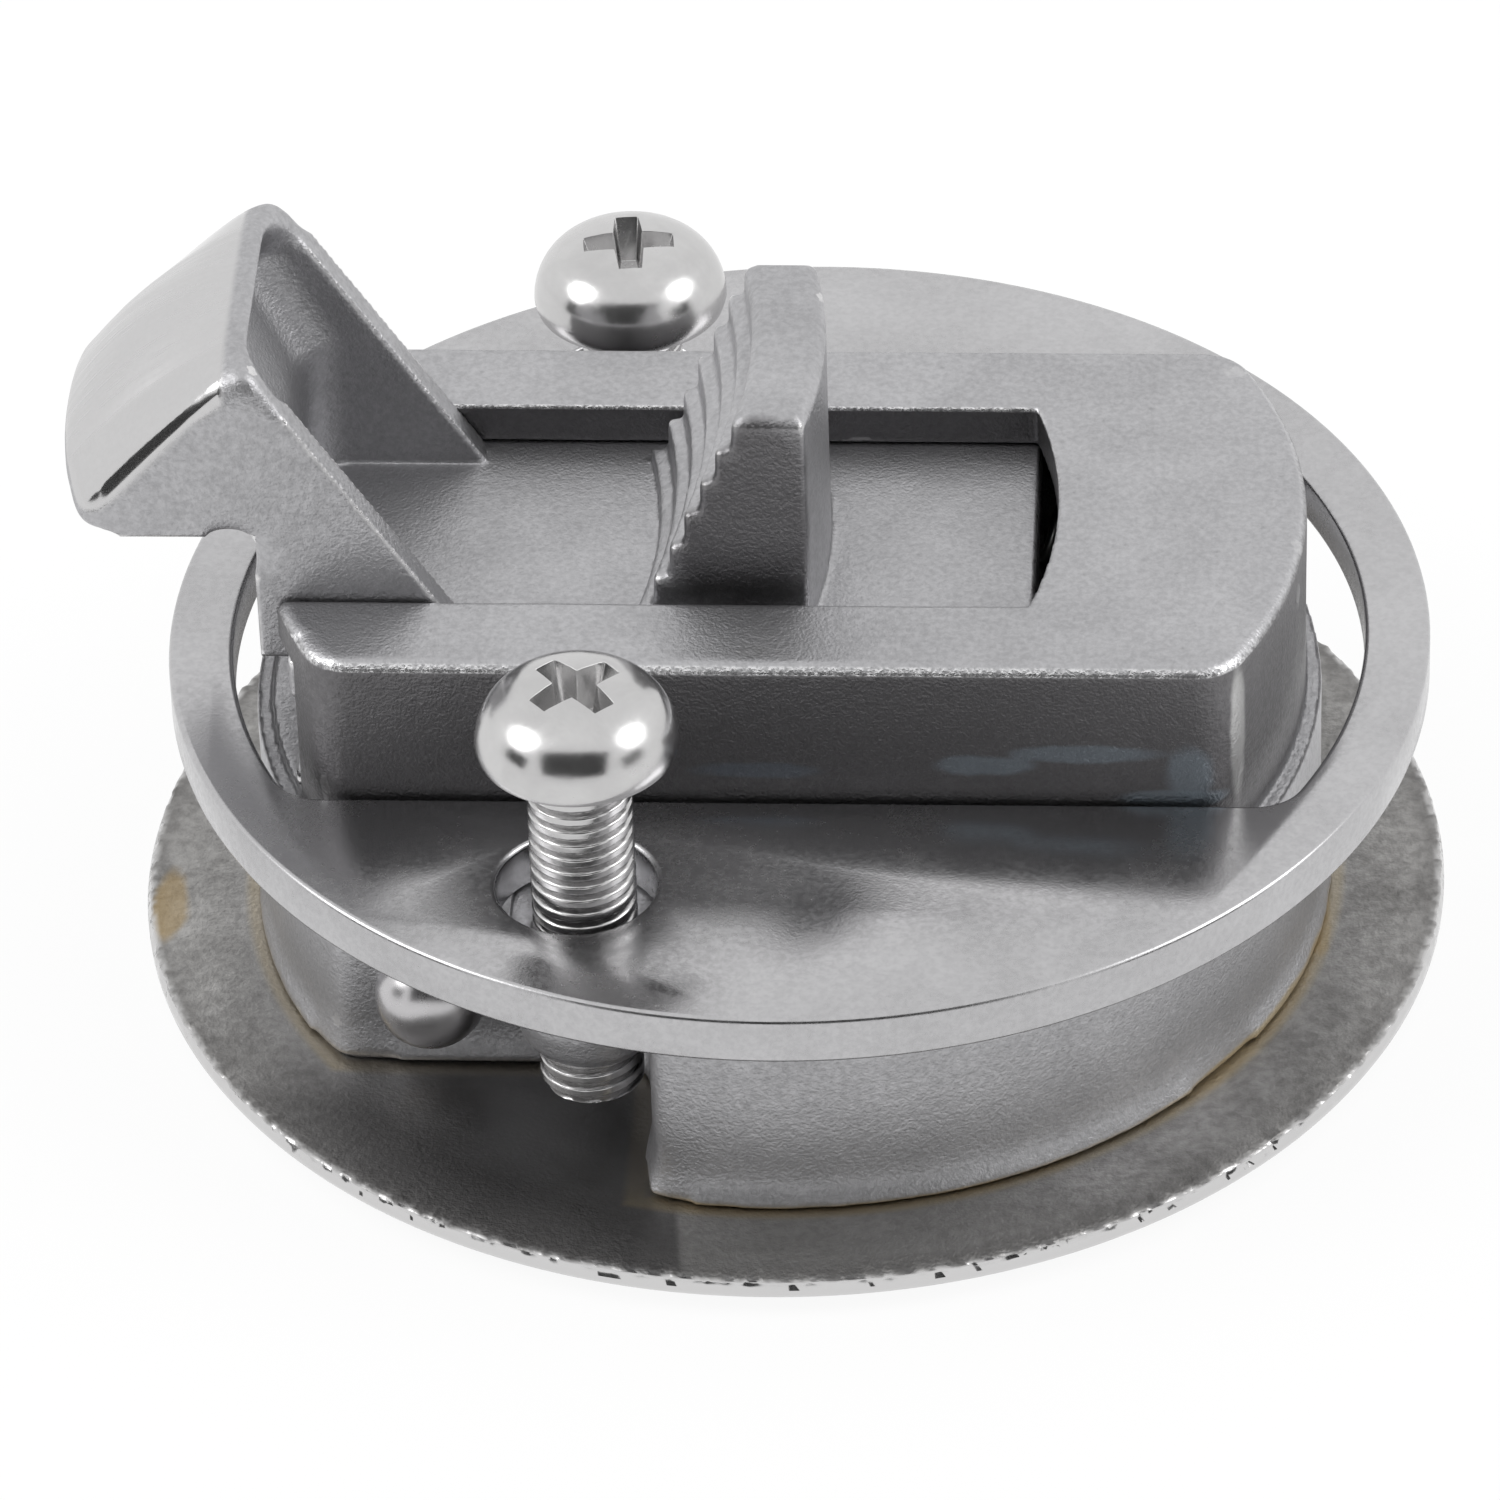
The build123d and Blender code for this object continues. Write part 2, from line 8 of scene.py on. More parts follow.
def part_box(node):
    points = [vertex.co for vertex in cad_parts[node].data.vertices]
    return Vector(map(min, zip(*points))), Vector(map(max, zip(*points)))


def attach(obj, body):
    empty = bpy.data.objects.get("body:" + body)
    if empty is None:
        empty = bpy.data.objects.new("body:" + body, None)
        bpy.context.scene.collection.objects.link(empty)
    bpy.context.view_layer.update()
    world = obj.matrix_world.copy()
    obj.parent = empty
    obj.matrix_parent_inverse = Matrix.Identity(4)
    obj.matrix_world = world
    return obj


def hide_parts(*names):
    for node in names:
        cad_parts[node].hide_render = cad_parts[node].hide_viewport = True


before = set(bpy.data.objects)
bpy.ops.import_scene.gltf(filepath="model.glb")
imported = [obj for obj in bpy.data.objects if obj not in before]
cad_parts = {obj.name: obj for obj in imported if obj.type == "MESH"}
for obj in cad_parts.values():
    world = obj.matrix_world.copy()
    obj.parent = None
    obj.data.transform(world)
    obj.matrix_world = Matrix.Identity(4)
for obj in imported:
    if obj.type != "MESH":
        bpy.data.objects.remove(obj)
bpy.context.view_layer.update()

bl_info = {
    "name": "Flush pull slam latch",
    "version": (1, 0, 0),
    "blender": (4, 5, 0),
    "location": "3D View > Sidebar > Latch",
    "description": "Builds a cast stainless flush pull slam latch, piece by piece, on its CAD frame",
    "category": "Object",
}

MM = 0.001

# Places on the drum, in millimetres: its screws, the upright edges of its reliefs and the seam round its foot
SCREW_X, SCREW_Y = -8.5, 20.0
RELIEF_CORNER = (20.7, 14.9)
RELIEF_END = (-5.5, 24.9)
SEAM_RADIUS, SEAM_RELIEF_X, SEAM_RELIEF_Y = 26.1, -6.3, 15.5

# The clamp ring's opening, by radius, half width and corner radius, and its two screw holes, in millimetres
RING_OPENING = (27.05, 13.753, 2.5)
RING_HOLE_X, RING_HOLE_RADIUS = -9.4, 3.75

# Places on the slam bolt, in millimetres: its catch face, its neck, and the slam bevel seen from the front,
# which runs from the ridge to the nose along an arc, given by the X and Z of its centre and its radius
CATCH_Z = 26.9
NECK_X = -24.4
TONGUE_HALF_Y = 7.7
BEVEL_RIDGE = (-25.2, 36.3)
BEVEL_NOSE = (-32.7, 27.4)
BEVEL_ARC = (-21.788, 23.336, 13.4055)


# Sizes and finishes that a user would change


class LatchSizes(bpy.types.PropertyGroup):
    """Sizes of the pieces that are modelled anew, in metres."""

    flange_radius: bpy.props.FloatProperty(
        name="Flange radius", description="Outer radius of the bezel flange", default=0.03149, unit="LENGTH"
    )
    ring_radius: bpy.props.FloatProperty(
        name="Ring radius", description="Outer radius of the clamp ring", default=0.03015, unit="LENGTH"
    )
    thread_pitch: bpy.props.FloatProperty(
        name="Thread pitch", description="Rise of one turn of the screw thread", default=0.0008, unit="LENGTH"
    )
    casting_faces: bpy.props.IntProperty(
        name="Casting faces", description="Triangles of each large casting", default=190000,
        min=20000, max=199000,
    )
    rim_pits: bpy.props.FloatProperty(
        name="Rim pits", description="Depth of the pits in the edge of the flange", default=0.0002,
        unit="LENGTH",
    )


class LatchFinish(bpy.types.PropertyGroup):
    """Colours and gloss of the metals."""

    cast_light: bpy.props.FloatVectorProperty(
        name="Cast steel, light", description="Colour of clean cast steel", default=(0.53, 0.528, 0.542),
        subtype="COLOR", min=0, max=1,
    )
    cast_dark: bpy.props.FloatVectorProperty(
        name="Cast steel, dark", description="Colour of cast steel in its hollows",
        default=(0.35, 0.348, 0.358), subtype="COLOR", min=0, max=1,
    )
    polished: bpy.props.FloatVectorProperty(
        name="Polished steel", description="Colour of polished steel", default=(0.62, 0.615, 0.615),
        subtype="COLOR", min=0, max=1,
    )
    heat_tint: bpy.props.FloatVectorProperty(
        name="Heat tint", description="Golden tint beside the weld", default=(0.55, 0.44, 0.24),
        subtype="COLOR", min=0, max=1,
    )
    cast_roughness: bpy.props.FloatProperty(
        name="Cast roughness", description="Roughness of the blasted surfaces", default=0.42, min=0, max=1
    )
    ring_roughness: bpy.props.FloatProperty(
        name="Ring roughness", description="Roughness of the clamp ring", default=0.2, min=0, max=1
    )
    grain_depth: bpy.props.FloatProperty(
        name="Grain depth", description="Depth of the blasted grain", default=0.00006, unit="LENGTH"
    )


def sizes():
    return bpy.context.scene.latch_sizes


def finish():
    return bpy.context.scene.latch_finish


# Mesh helpers


def clear_selection():
    active = bpy.context.view_layer.objects.active
    if active and active.mode != "OBJECT":
        bpy.ops.object.mode_set(mode="OBJECT")
    bpy.ops.object.select_all(action="DESELECT")


def pick(obj):
    """Selects only this object and makes it the active one."""
    clear_selection()
    obj.select_set(True)
    bpy.context.view_layer.objects.active = obj


def modify(obj, kind, **settings):
    """Adds a modifier with its settings and applies it."""
    pick(obj)
    bpy.ops.object.modifier_add(type=kind)
    modifier = obj.modifiers[-1]
    for key, value in settings.items():
        setattr(modifier, key, value)
    bpy.ops.object.modifier_apply(modifier=modifier.name)


def shade_by_angle(obj, angle):
    """Smooth shading, with sharp edges above an angle in degrees."""
    pick(obj)
    bpy.ops.object.shade_smooth_by_angle(angle=radians(angle))


def settle(obj, name):
    """Puts the object at the origin with its place in its mesh, and names it."""
    pick(obj)
    bpy.ops.object.transform_apply(location=True, rotation=True, scale=True)
    obj.name = name
    obj.data.name = name
    return obj


def clean_mesh(obj, threshold=1e-6):
    pick(obj)
    bpy.ops.object.mode_set(mode="EDIT")
    bpy.ops.mesh.select_all(action="SELECT")
    bpy.ops.mesh.remove_doubles(threshold=threshold)
    bpy.ops.mesh.normals_make_consistent(inside=False)
    bpy.ops.object.mode_set(mode="OBJECT")


def drawn_line(points):
    """A line of edges, drawn by extruding one vertex from point to point."""
    clear_selection()
    bpy.ops.mesh.primitive_plane_add(size=0.001)
    obj = bpy.context.object
    bpy.ops.object.mode_set(mode="EDIT")
    bpy.ops.mesh.select_all(action="SELECT")
    bpy.ops.mesh.merge(type="CENTER")
    bpy.ops.transform.translate(value=points[0])
    for before, after in zip(points, points[1:]):
        step = Vector(after) - Vector(before)
        bpy.ops.mesh.extrude_vertices_move(TRANSFORM_OT_translate={"value": step})
    bpy.ops.mesh.select_all(action="SELECT")
    return obj


def spun(outline, steps=128):
    """Turns an outline of (radius, height) points, in millimetres, about Z."""
    obj = drawn_line([(r * MM, 0, z * MM) for r, z in outline])
    bpy.ops.mesh.spin(steps=steps, angle=2 * pi, center=(0, 0, 0), axis=(0, 0, 1))
    clean_mesh(obj)
    return obj


def raised_plan(outline, low, high):
    """A closed plan of (x, y) points, in millimetres, made solid between two heights."""
    obj = drawn_line([(x * MM, y * MM, low * MM) for x, y in outline])
    bpy.ops.mesh.edge_face_add()
    bpy.ops.mesh.extrude_region_move(TRANSFORM_OT_translate={"value": (0, 0, (high - low) * MM)})
    clean_mesh(obj)
    return obj


def cut(obj, tool, operation="DIFFERENCE"):
    """Cuts a tool out of the object, or joins it on, and removes the tool."""
    modify(obj, "BOOLEAN", object=tool, operation=operation, solver="EXACT")
    mesh = tool.data
    bpy.data.objects.remove(tool)
    bpy.data.meshes.remove(mesh)


def copy_of_node(node, name):
    """A new object with a merged copy of a CAD node's mesh."""
    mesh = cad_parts[node].data.copy()
    mesh.materials.clear()
    obj = bpy.data.objects.new(name, mesh)
    bpy.context.scene.collection.objects.link(obj)
    pick(obj)
    bpy.ops.object.mode_set(mode="EDIT")
    bpy.ops.mesh.select_all(action="SELECT")
    bpy.ops.mesh.remove_doubles(threshold=1e-7)
    bpy.ops.object.mode_set(mode="OBJECT")
    mesh.name = name
    return obj


def remesh_casting(obj, depth, smoothing, scale=0.9):
    """Gives a casting even faces and slightly rounded edges."""
    modify(obj, "REMESH", mode="SHARP", octree_depth=depth, scale=scale, use_remove_disconnected=False)
    modify(obj, "SMOOTH", factor=0.5, iterations=smoothing)


def soften_region(obj, name, weight, rounds):
    """Rounds the casting by a weight from 0 to 1, given for a place in millimetres."""
    region = obj.vertex_groups.new(name=name)
    steps = {}
    for vertex in obj.data.vertices:
        steps.setdefault(round(10 * weight(*(vertex.co / MM))), []).append(vertex.index)
    for step in range(1, 11):
        region.add(steps.get(step, []), step / 10, "REPLACE")
    modify(obj, "SMOOTH", factor=0.5, iterations=rounds, vertex_group=name)
    obj.vertex_groups.clear()


def settle_casting(obj, wave, faces):
    """Makes the faces slightly uneven, thins the mesh and smooths its shading."""
    if wave:
        clouds = bpy.data.textures.new(obj.name + "_clouds", "CLOUDS")
        clouds.noise_scale = 0.004
        clouds.noise_depth = 2
        modify(obj, "DISPLACE", texture=clouds, texture_coords="LOCAL", strength=wave, mid_level=0.5)
        bpy.data.textures.remove(clouds)
    triangles = sum(len(p.vertices) - 2 for p in obj.data.polygons)
    if triangles > faces:
        modify(obj, "DECIMATE", ratio=faces / triangles)
    pick(obj)
    bpy.ops.object.shade_smooth()


def finish_piece(obj, material, body, slot, *nodes):
    """Gives a piece its material and the body it rides, and hides the CAD nodes it stands for. The slot is not
    used.
    """
    obj.data.materials.clear()
    obj.data.materials.append(material)
    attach(obj, body)
    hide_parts(*nodes)


# Shader helpers


def node(tree, kind, inputs=(), **settings):
    """A node with its settings; an input is a value or the socket that feeds it."""
    made = tree.nodes.new(kind)
    for key, value in settings.items():
        setattr(made, key, value)
    for key, value in dict(inputs).items():
        if isinstance(value, bpy.types.NodeSocket):
            tree.links.new(value, made.inputs[key])
        else:
            made.inputs[key].default_value = value
    return made


def maths(tree, operation, a, b=0.0):
    return node(tree, "ShaderNodeMath", {0: a, 1: b}, operation=operation).outputs[0]


def times(tree, a, b):
    return maths(tree, "MULTIPLY", a, b)


def ramp(tree, value, from_low, from_high, to_low=0.0, to_high=1.0):
    """Maps a range to another one along a soft curve, and stays at its ends outside."""
    inputs = {"Value": value, "From Min": from_low, "From Max": from_high, "To Min": to_low, "To Max": to_high}
    return node(tree, "ShaderNodeMapRange", inputs, interpolation_type="SMOOTHSTEP").outputs[0]


def blend(tree, factor, a, b):
    """A colour between two colours."""
    return node(tree, "ShaderNodeMix", {0: factor, 6: a, 7: b}, data_type="RGBA").outputs[2]


def between(tree, factor, a, b):
    """A value between two values."""
    return node(tree, "ShaderNodeMix", {0: factor, 2: a, 3: b}).outputs[0]


def rgb(colour, share=1.0):
    """A colour for a socket, darkened or lightened by a share."""
    return (colour[0] * share, colour[1] * share, colour[2] * share, 1.0)


def new_group(name, inputs, outputs):
    """An empty shader group with its named sockets, and its input and output nodes."""
    tree = bpy.data.node_groups.new(name, "ShaderNodeTree")
    for label, kind, default in inputs:
        socket = tree.interface.new_socket(label, in_out="INPUT", socket_type="NodeSocket" + kind)
        socket.default_value = default
    for label, kind in outputs:
        tree.interface.new_socket(label, in_out="OUTPUT", socket_type="NodeSocket" + kind)
    return tree, tree.nodes.new("NodeGroupInput").outputs, tree.nodes.new("NodeGroupOutput").inputs


def grain_group():
    """Blasted grain with shallow pits: a height, and a mask of the pits."""
    if "cast_grain" in bpy.data.node_groups:
        return bpy.data.node_groups["cast_grain"]
    sockets = [("Vector", "Vector", (0, 0, 0)), ("Grain scale", "Float", 3500.0), ("Pits", "Float", 0.3)]
    tree, given, put = new_group("cast_grain", sockets, [("Height", "Float"), ("Pit", "Float")])
    fine = node(tree, "ShaderNodeTexNoise", {"Vector": given[0], "Scale": given[1], "Detail": 2.0})
    coarse_scale = times(tree, given[1], 0.42)
    coarse = node(tree, "ShaderNodeTexNoise", {"Vector": given[0], "Scale": coarse_scale, "Detail": 3.0})
    pit_scale = times(tree, given[1], 0.2)
    cells = node(tree, "ShaderNodeTexVoronoi", {"Vector": given[0], "Scale": pit_scale})
    hole = ramp(tree, cells.outputs["Distance"], 0.0, 0.32, 1.0, 0.0)
    sparse = ramp(tree, coarse.outputs["Fac"], 0.52, 0.62)
    pit = times(tree, times(tree, hole, sparse), given[2])
    height = maths(tree, "ADD", fine.outputs["Fac"], times(tree, coarse.outputs["Fac"], 0.7))
    tree.links.new(maths(tree, "SUBTRACT", height, pit), put[0])
    tree.links.new(pit, put[1])
    return tree


def mottle_group():
    """Soft cloudy variation from 0 to 1."""
    if "mottle" in bpy.data.node_groups:
        return bpy.data.node_groups["mottle"]
    sockets = [("Vector", "Vector", (0, 0, 0)), ("Scale", "Float", 150.0),
               ("Low", "Float", 0.35), ("High", "Float", 0.65)]
    tree, given, put = new_group("mottle", sockets, [("Value", "Float")])
    clouds = node(tree, "ShaderNodeTexNoise",
                  {"Vector": given[0], "Scale": given[1], "Detail": 6.0, "Roughness": 0.62, "Distortion": 0.3})
    tree.links.new(ramp(tree, clouds.outputs["Fac"], given[2], given[3]), put[0])
    return tree


def spot_group():
    """A ragged patch round a centre, 1 inside and 0 outside."""
    if "ragged_spot" in bpy.data.node_groups:
        return bpy.data.node_groups["ragged_spot"]
    sockets = [("Vector", "Vector", (0, 0, 0)), ("Centre", "Vector", (0, 0, 0)),
               ("Reach", "Vector", (0.01, 0.01, 0.01)), ("Ragged", "Float", 0.8), ("Scale", "Float", 400.0)]
    tree, given, put = new_group("ragged_spot", sockets, [("Mask", "Float")])
    away = node(tree, "ShaderNodeVectorMath", {0: given[0], 1: given[1]}, operation="SUBTRACT").outputs[0]
    scaled = node(tree, "ShaderNodeVectorMath", {0: away, 1: given[2]}, operation="DIVIDE").outputs[0]
    length = node(tree, "ShaderNodeVectorMath", {0: scaled}, operation="LENGTH").outputs["Value"]
    noise = node(tree, "ShaderNodeTexNoise", {"Vector": given[0], "Scale": given[4], "Detail": 5.0})
    shift = times(tree, maths(tree, "SUBTRACT", noise.outputs["Fac"], 0.5), given[3])
    tree.links.new(ramp(tree, maths(tree, "ADD", length, shift), 0.55, 1.0, 1.0, 0.0), put[0])
    return tree


def edge_group():
    """Rubbed edges, found where the surface turns outwards, and creases for painted shade, where it turns
    inwards.
    """
    if "edge_wear" in bpy.data.node_groups:
        return bpy.data.node_groups["edge_wear"]
    sockets = [("Vector", "Vector", (0, 0, 0)), ("Low", "Float", 0.53), ("High", "Float", 0.565)]
    tree, given, put = new_group("edge_wear", sockets, [("Mask", "Float"), ("Crease shade", "Float")])
    turn = node(tree, "ShaderNodeNewGeometry").outputs["Pointiness"]
    noise = node(tree, "ShaderNodeTexNoise", {"Vector": given[0], "Scale": 700.0, "Detail": 4.0})
    uneven = ramp(tree, noise.outputs["Fac"], 0.3, 0.6, 0.4, 1.0)
    tree.links.new(times(tree, ramp(tree, turn, given[1], given[2]), uneven), put[0])
    # painted shade mask: 1 in creases, where the surface turns inwards
    tree.links.new(ramp(tree, turn, 0.36, 0.46, 1.0, 0.0), put[1])
    return tree


def new_material(name):
    material = bpy.data.materials.new(name)
    material.use_nodes = True
    tree = material.node_tree
    shader = tree.nodes["Principled BSDF"]
    shader.inputs["Metallic"].default_value = 1.0
    coords = node(tree, "ShaderNodeTexCoord").outputs["Object"]
    return material, tree, shader, coords


def group(tree, made, inputs):
    """The outputs of a shader group, with values or sockets put in."""
    return node(tree, "ShaderNodeGroup", inputs, node_tree=made).outputs


def cast_steel(name, depth, pits=0.3, stains_and_painted_light=(), edges=0.9, side=1.0, side_from=0.0, rub_highlight_from=1.0, bevel=False):
    """Cast and blasted stainless steel, with stains, painted highlights and painted shade given as spots of
    (centre, reach, colour, amount, roughness).

    Upright faces above side_from are darkened with painted shade, creases get painted shade, slanted faces
    above the rub height are rubbed and carry a painted highlight, mostly in front, and a slam bevel is ground.
    """
    light, dark, rough = finish().cast_light, finish().cast_dark, finish().cast_roughness
    material, tree, shader, coords = new_material(name)
    grain = group(tree, grain_group(), {"Vector": coords, "Grain scale": 6200.0, "Pits": pits})
    clouds = group(tree, mottle_group(), {"Vector": coords, "Scale": 160.0, "Low": 0.2, "High": 0.8})
    speckle = group(tree, mottle_group(), {"Vector": coords, "Scale": 3200.0, "Low": 0.25, "High": 0.75})
    wear = group(tree, edge_group(), {"Vector": coords})
    value = maths(tree, "ADD", times(tree, clouds["Value"], 0.45), times(tree, speckle["Value"], 0.55))
    normal = node(tree, "ShaderNodeTexCoord").outputs["Normal"]
    facing = node(tree, "ShaderNodeSeparateXYZ", {0: normal}).outputs
    place = node(tree, "ShaderNodeSeparateXYZ", {0: coords}).outputs
    upright = times(tree, ramp(tree, maths(tree, "ABSOLUTE", facing[2]), 0.35, 0.8, 1.0, 0.0),
                    ramp(tree, place[2], side_from, side_from + 0.0005))
    worn = times(tree, wear["Mask"], edges)
    # rubbed chamfer with a painted highlight: slanted faces above the rub height, mostly those facing the front
    slanted = times(tree, ramp(tree, facing[2], 0.2, 0.4), ramp(tree, facing[2], 0.72, 0.88, 1.0, 0.0))
    slanted = times(tree, slanted, ramp(tree, facing[1], -0.5, -0.3, 1.0, 0.25))
    rub_and_highlight = times(tree, slanted, ramp(tree, place[2], rub_highlight_from, rub_highlight_from + 0.0002))
    rub_and_highlight = times(tree, rub_and_highlight, ramp(tree, grain["Height"], 0.65, 1.0, 0.1, 0.9))
    colour = blend(tree, value, rgb(dark), rgb(light))
    # painted shade: upright faces above side_from are darkened towards near black, by the share 1 - side
    colour = blend(tree, times(tree, upright, 1.0 - side), colour, rgb((0.07, 0.066, 0.068)))
    # painted shade: creases are darkened
    colour = blend(tree, times(tree, wear["Crease shade"], 0.5), colour, rgb(dark, 0.5))
    colour = blend(tree, worn, colour, rgb(finish().polished, 1.3))
    # painted highlight: the rubbed chamfer is turned near white
    colour = blend(tree, rub_and_highlight, colour, rgb((0.85, 0.85, 0.86)))
    roughness = ramp(tree, value, 0.0, 1.0, rough + 0.08, rough - 0.05)
    roughness = between(tree, worn, roughness, rough * 0.45)
    roughness = between(tree, rub_and_highlight, roughness, rough * 0.5)
    # spots: real stains and tints, and painted highlights and painted shade where a caller gives them
    for centre, reach, tint, amount, spot_rough in stains_and_painted_light:
        spot = group(tree, spot_group(), {"Vector": coords, "Centre": centre, "Reach": reach})
        mask = times(tree, spot["Mask"], amount)
        colour = blend(tree, mask, colour, rgb(tint))
        roughness = between(tree, mask, roughness, spot_rough)
    colour = blend(tree, times(tree, grain["Pit"], 0.8), colour, rgb(dark, 0.3))
    height = times(tree, grain["Height"], maths(tree, "ADD", times(tree, upright, 0.4), 1.0))
    height = times(tree, height, maths(tree, "SUBTRACT", 1.0, times(tree, worn, 0.8)))
    if bevel:
        colour, roughness, height = ground_bevel(tree, coords, place, facing, colour, roughness, height)
    tree.links.new(colour, shader.inputs["Base Color"])
    tree.links.new(roughness, shader.inputs["Roughness"])
    bump = node(tree, "ShaderNodeBump", {"Height": height, "Strength": 0.6, "Distance": depth})
    tree.links.new(bump.outputs[0], shader.inputs["Normal"])
    return material


def ground_bevel(tree, coords, place, facing, colour, roughness, height):
    """Fine grinding lines on the slam bevel, and a polished band along its edges."""
    ground = times(tree, ramp(tree, place[0], -0.0256, -0.0252, 1.0, 0.0), ramp(tree, facing[2], 0.15, 0.35))
    rim = times(tree, ground, ramp(tree, maths(tree, "ABSOLUTE", place[1]), 0.0044, 0.0052))
    lines = node(tree, "ShaderNodeMapping", {"Vector": coords, "Scale": (250.0, 3800.0, 250.0)}).outputs[0]
    brushed = node(tree, "ShaderNodeTexNoise", {"Vector": lines, "Scale": 1.0, "Detail": 3.0}).outputs["Fac"]
    satin = between(tree, rim, ramp(tree, brushed, 0.3, 0.7, 0.26, 0.38), 0.1)
    colour = blend(tree, times(tree, ground, 0.8), colour, rgb(finish().polished))
    height = between(tree, ground, height, times(tree, brushed, 0.12))
    return colour, between(tree, ground, roughness, satin), height


def smooth_steel(name, colour, rough, mark_scale=900.0):
    """Polished or ground stainless steel with faint smears and fine marks."""
    material, tree, shader, coords = new_material(name)
    marks = node(tree, "ShaderNodeTexNoise",
                 {"Vector": coords, "Scale": mark_scale, "Detail": 4.0, "Roughness": 0.6})
    clouds = group(tree, mottle_group(), {"Vector": coords, "Scale": 220.0, "Low": 0.3, "High": 0.7})
    mixed = blend(tree, clouds["Value"], rgb(colour, 0.86), rgb(colour))
    tree.links.new(mixed, shader.inputs["Base Color"])
    smears = maths(tree, "ADD", clouds["Value"], marks.outputs["Fac"])
    dull = times(tree, smears, 0.12)
    tree.links.new(maths(tree, "ADD", dull, rough), shader.inputs["Roughness"])
    bump = node(tree, "ShaderNodeBump", {"Height": marks.outputs["Fac"], "Strength": 0.5, "Distance": 0.00001})
    tree.links.new(bump.outputs[0], shader.inputs["Normal"])
    return material


# Outlines that several pieces share


def arc(centre, radius, start, end, steps):
    """Points on an arc between two angles in degrees, in millimetres."""
    turns = [radians(start + (end - start) * i / steps) for i in range(steps + 1)]
    return [(centre[0] + radius * cos(a), centre[1] + radius * sin(a)) for a in turns]


def strip_outline(radius, half_y, corner):
    """A disc cut down to a strip with rounded corners."""
    reach = sqrt((radius - corner) ** 2 - (half_y - corner) ** 2)
    lean = degrees(atan2(half_y - corner, reach))
    right = arc((0, 0), radius, -lean, lean, 40)
    upper = arc((reach, half_y - corner), corner, lean, 90, 8)[1:]
    quarter = right[len(right) // 2:] + upper
    whole = quarter + [(-x, y) for x, y in reversed(quarter)]
    return whole + [(x, -y) for x, y in reversed(whole[1:-1])]


# Pieces


class LatchFlange(bpy.types.Operator):
    """Adds the bezel flange, with its polished front, rough back and pitted rim."""

    bl_idname = "latch.flange"
    bl_label = "Bezel flange"

    def execute(self, context):
        radius = sizes().flange_radius / MM
        front = [(0, 0), (radius - 3.5, 0), (radius - 2.6, 0.07), (radius - 1.3, 0.34), (radius - 0.5, 0.72)]
        rim = [(radius - 0.12, 0.98), (radius, 1.2), (radius, 1.45), (radius, 1.7), (radius - 0.08, 1.9)]
        dish = [(28.6, 1.95), (27.4, 1.84), (26.2, 1.66), (25.0, 1.54), (23.5, 1.5), (0, 1.5)]
        back = [(radius - 0.3, 2.0), (radius - 1.2, 2.0), *dish]
        flange = spun(front + rim + back, steps=900)
        cut(flange, opening_tool())
        settle(flange, "flange_disc")
        pit_rim(flange, radius)
        shade_by_angle(flange, 32)
        finish_piece(flange, flange_metal(), "drum", "polished_flange", "bezel_flange")
        return {"FINISHED"}


def opening_tool():
    """The cutter for the handle's opening, which is round at one end and straight at the other."""
    half_y, end_r, left, corner = 10.8, 21.0, -20.746, 3.0
    reach = sqrt((end_r - corner) ** 2 - (half_y - corner) ** 2)
    lean = degrees(atan2(half_y - corner, reach))
    right = arc((0, 0), end_r, -lean, lean, 48) + arc((reach, half_y - corner), corner, lean, 90, 8)[1:]
    lower = arc((reach, corner - half_y), corner, -90, -lean, 8)[:-1]
    return raised_plan(lower + right + [(left, half_y), (left, -half_y)], -1, 3)


def pit_rim(flange, radius):
    """Bites small pits out of the upper edge of the rim."""
    rim = flange.vertex_groups.new(name="rim")
    chosen = [v.index for v in flange.data.vertices
              if hypot(v.co.x, v.co.y) > (radius - 0.4) * MM and v.co.z > 1.6 * MM]
    rim.add(chosen, 1.0, "REPLACE")
    clouds = bpy.data.textures.new("rim_clouds", "CLOUDS")
    clouds.noise_scale = 0.0006
    clouds.noise_depth = 3
    modify(flange, "DISPLACE", texture=clouds, texture_coords="LOCAL", vertex_group="rim",
           strength=sizes().rim_pits * 1.6, mid_level=0.85)
    bpy.data.textures.remove(clouds)


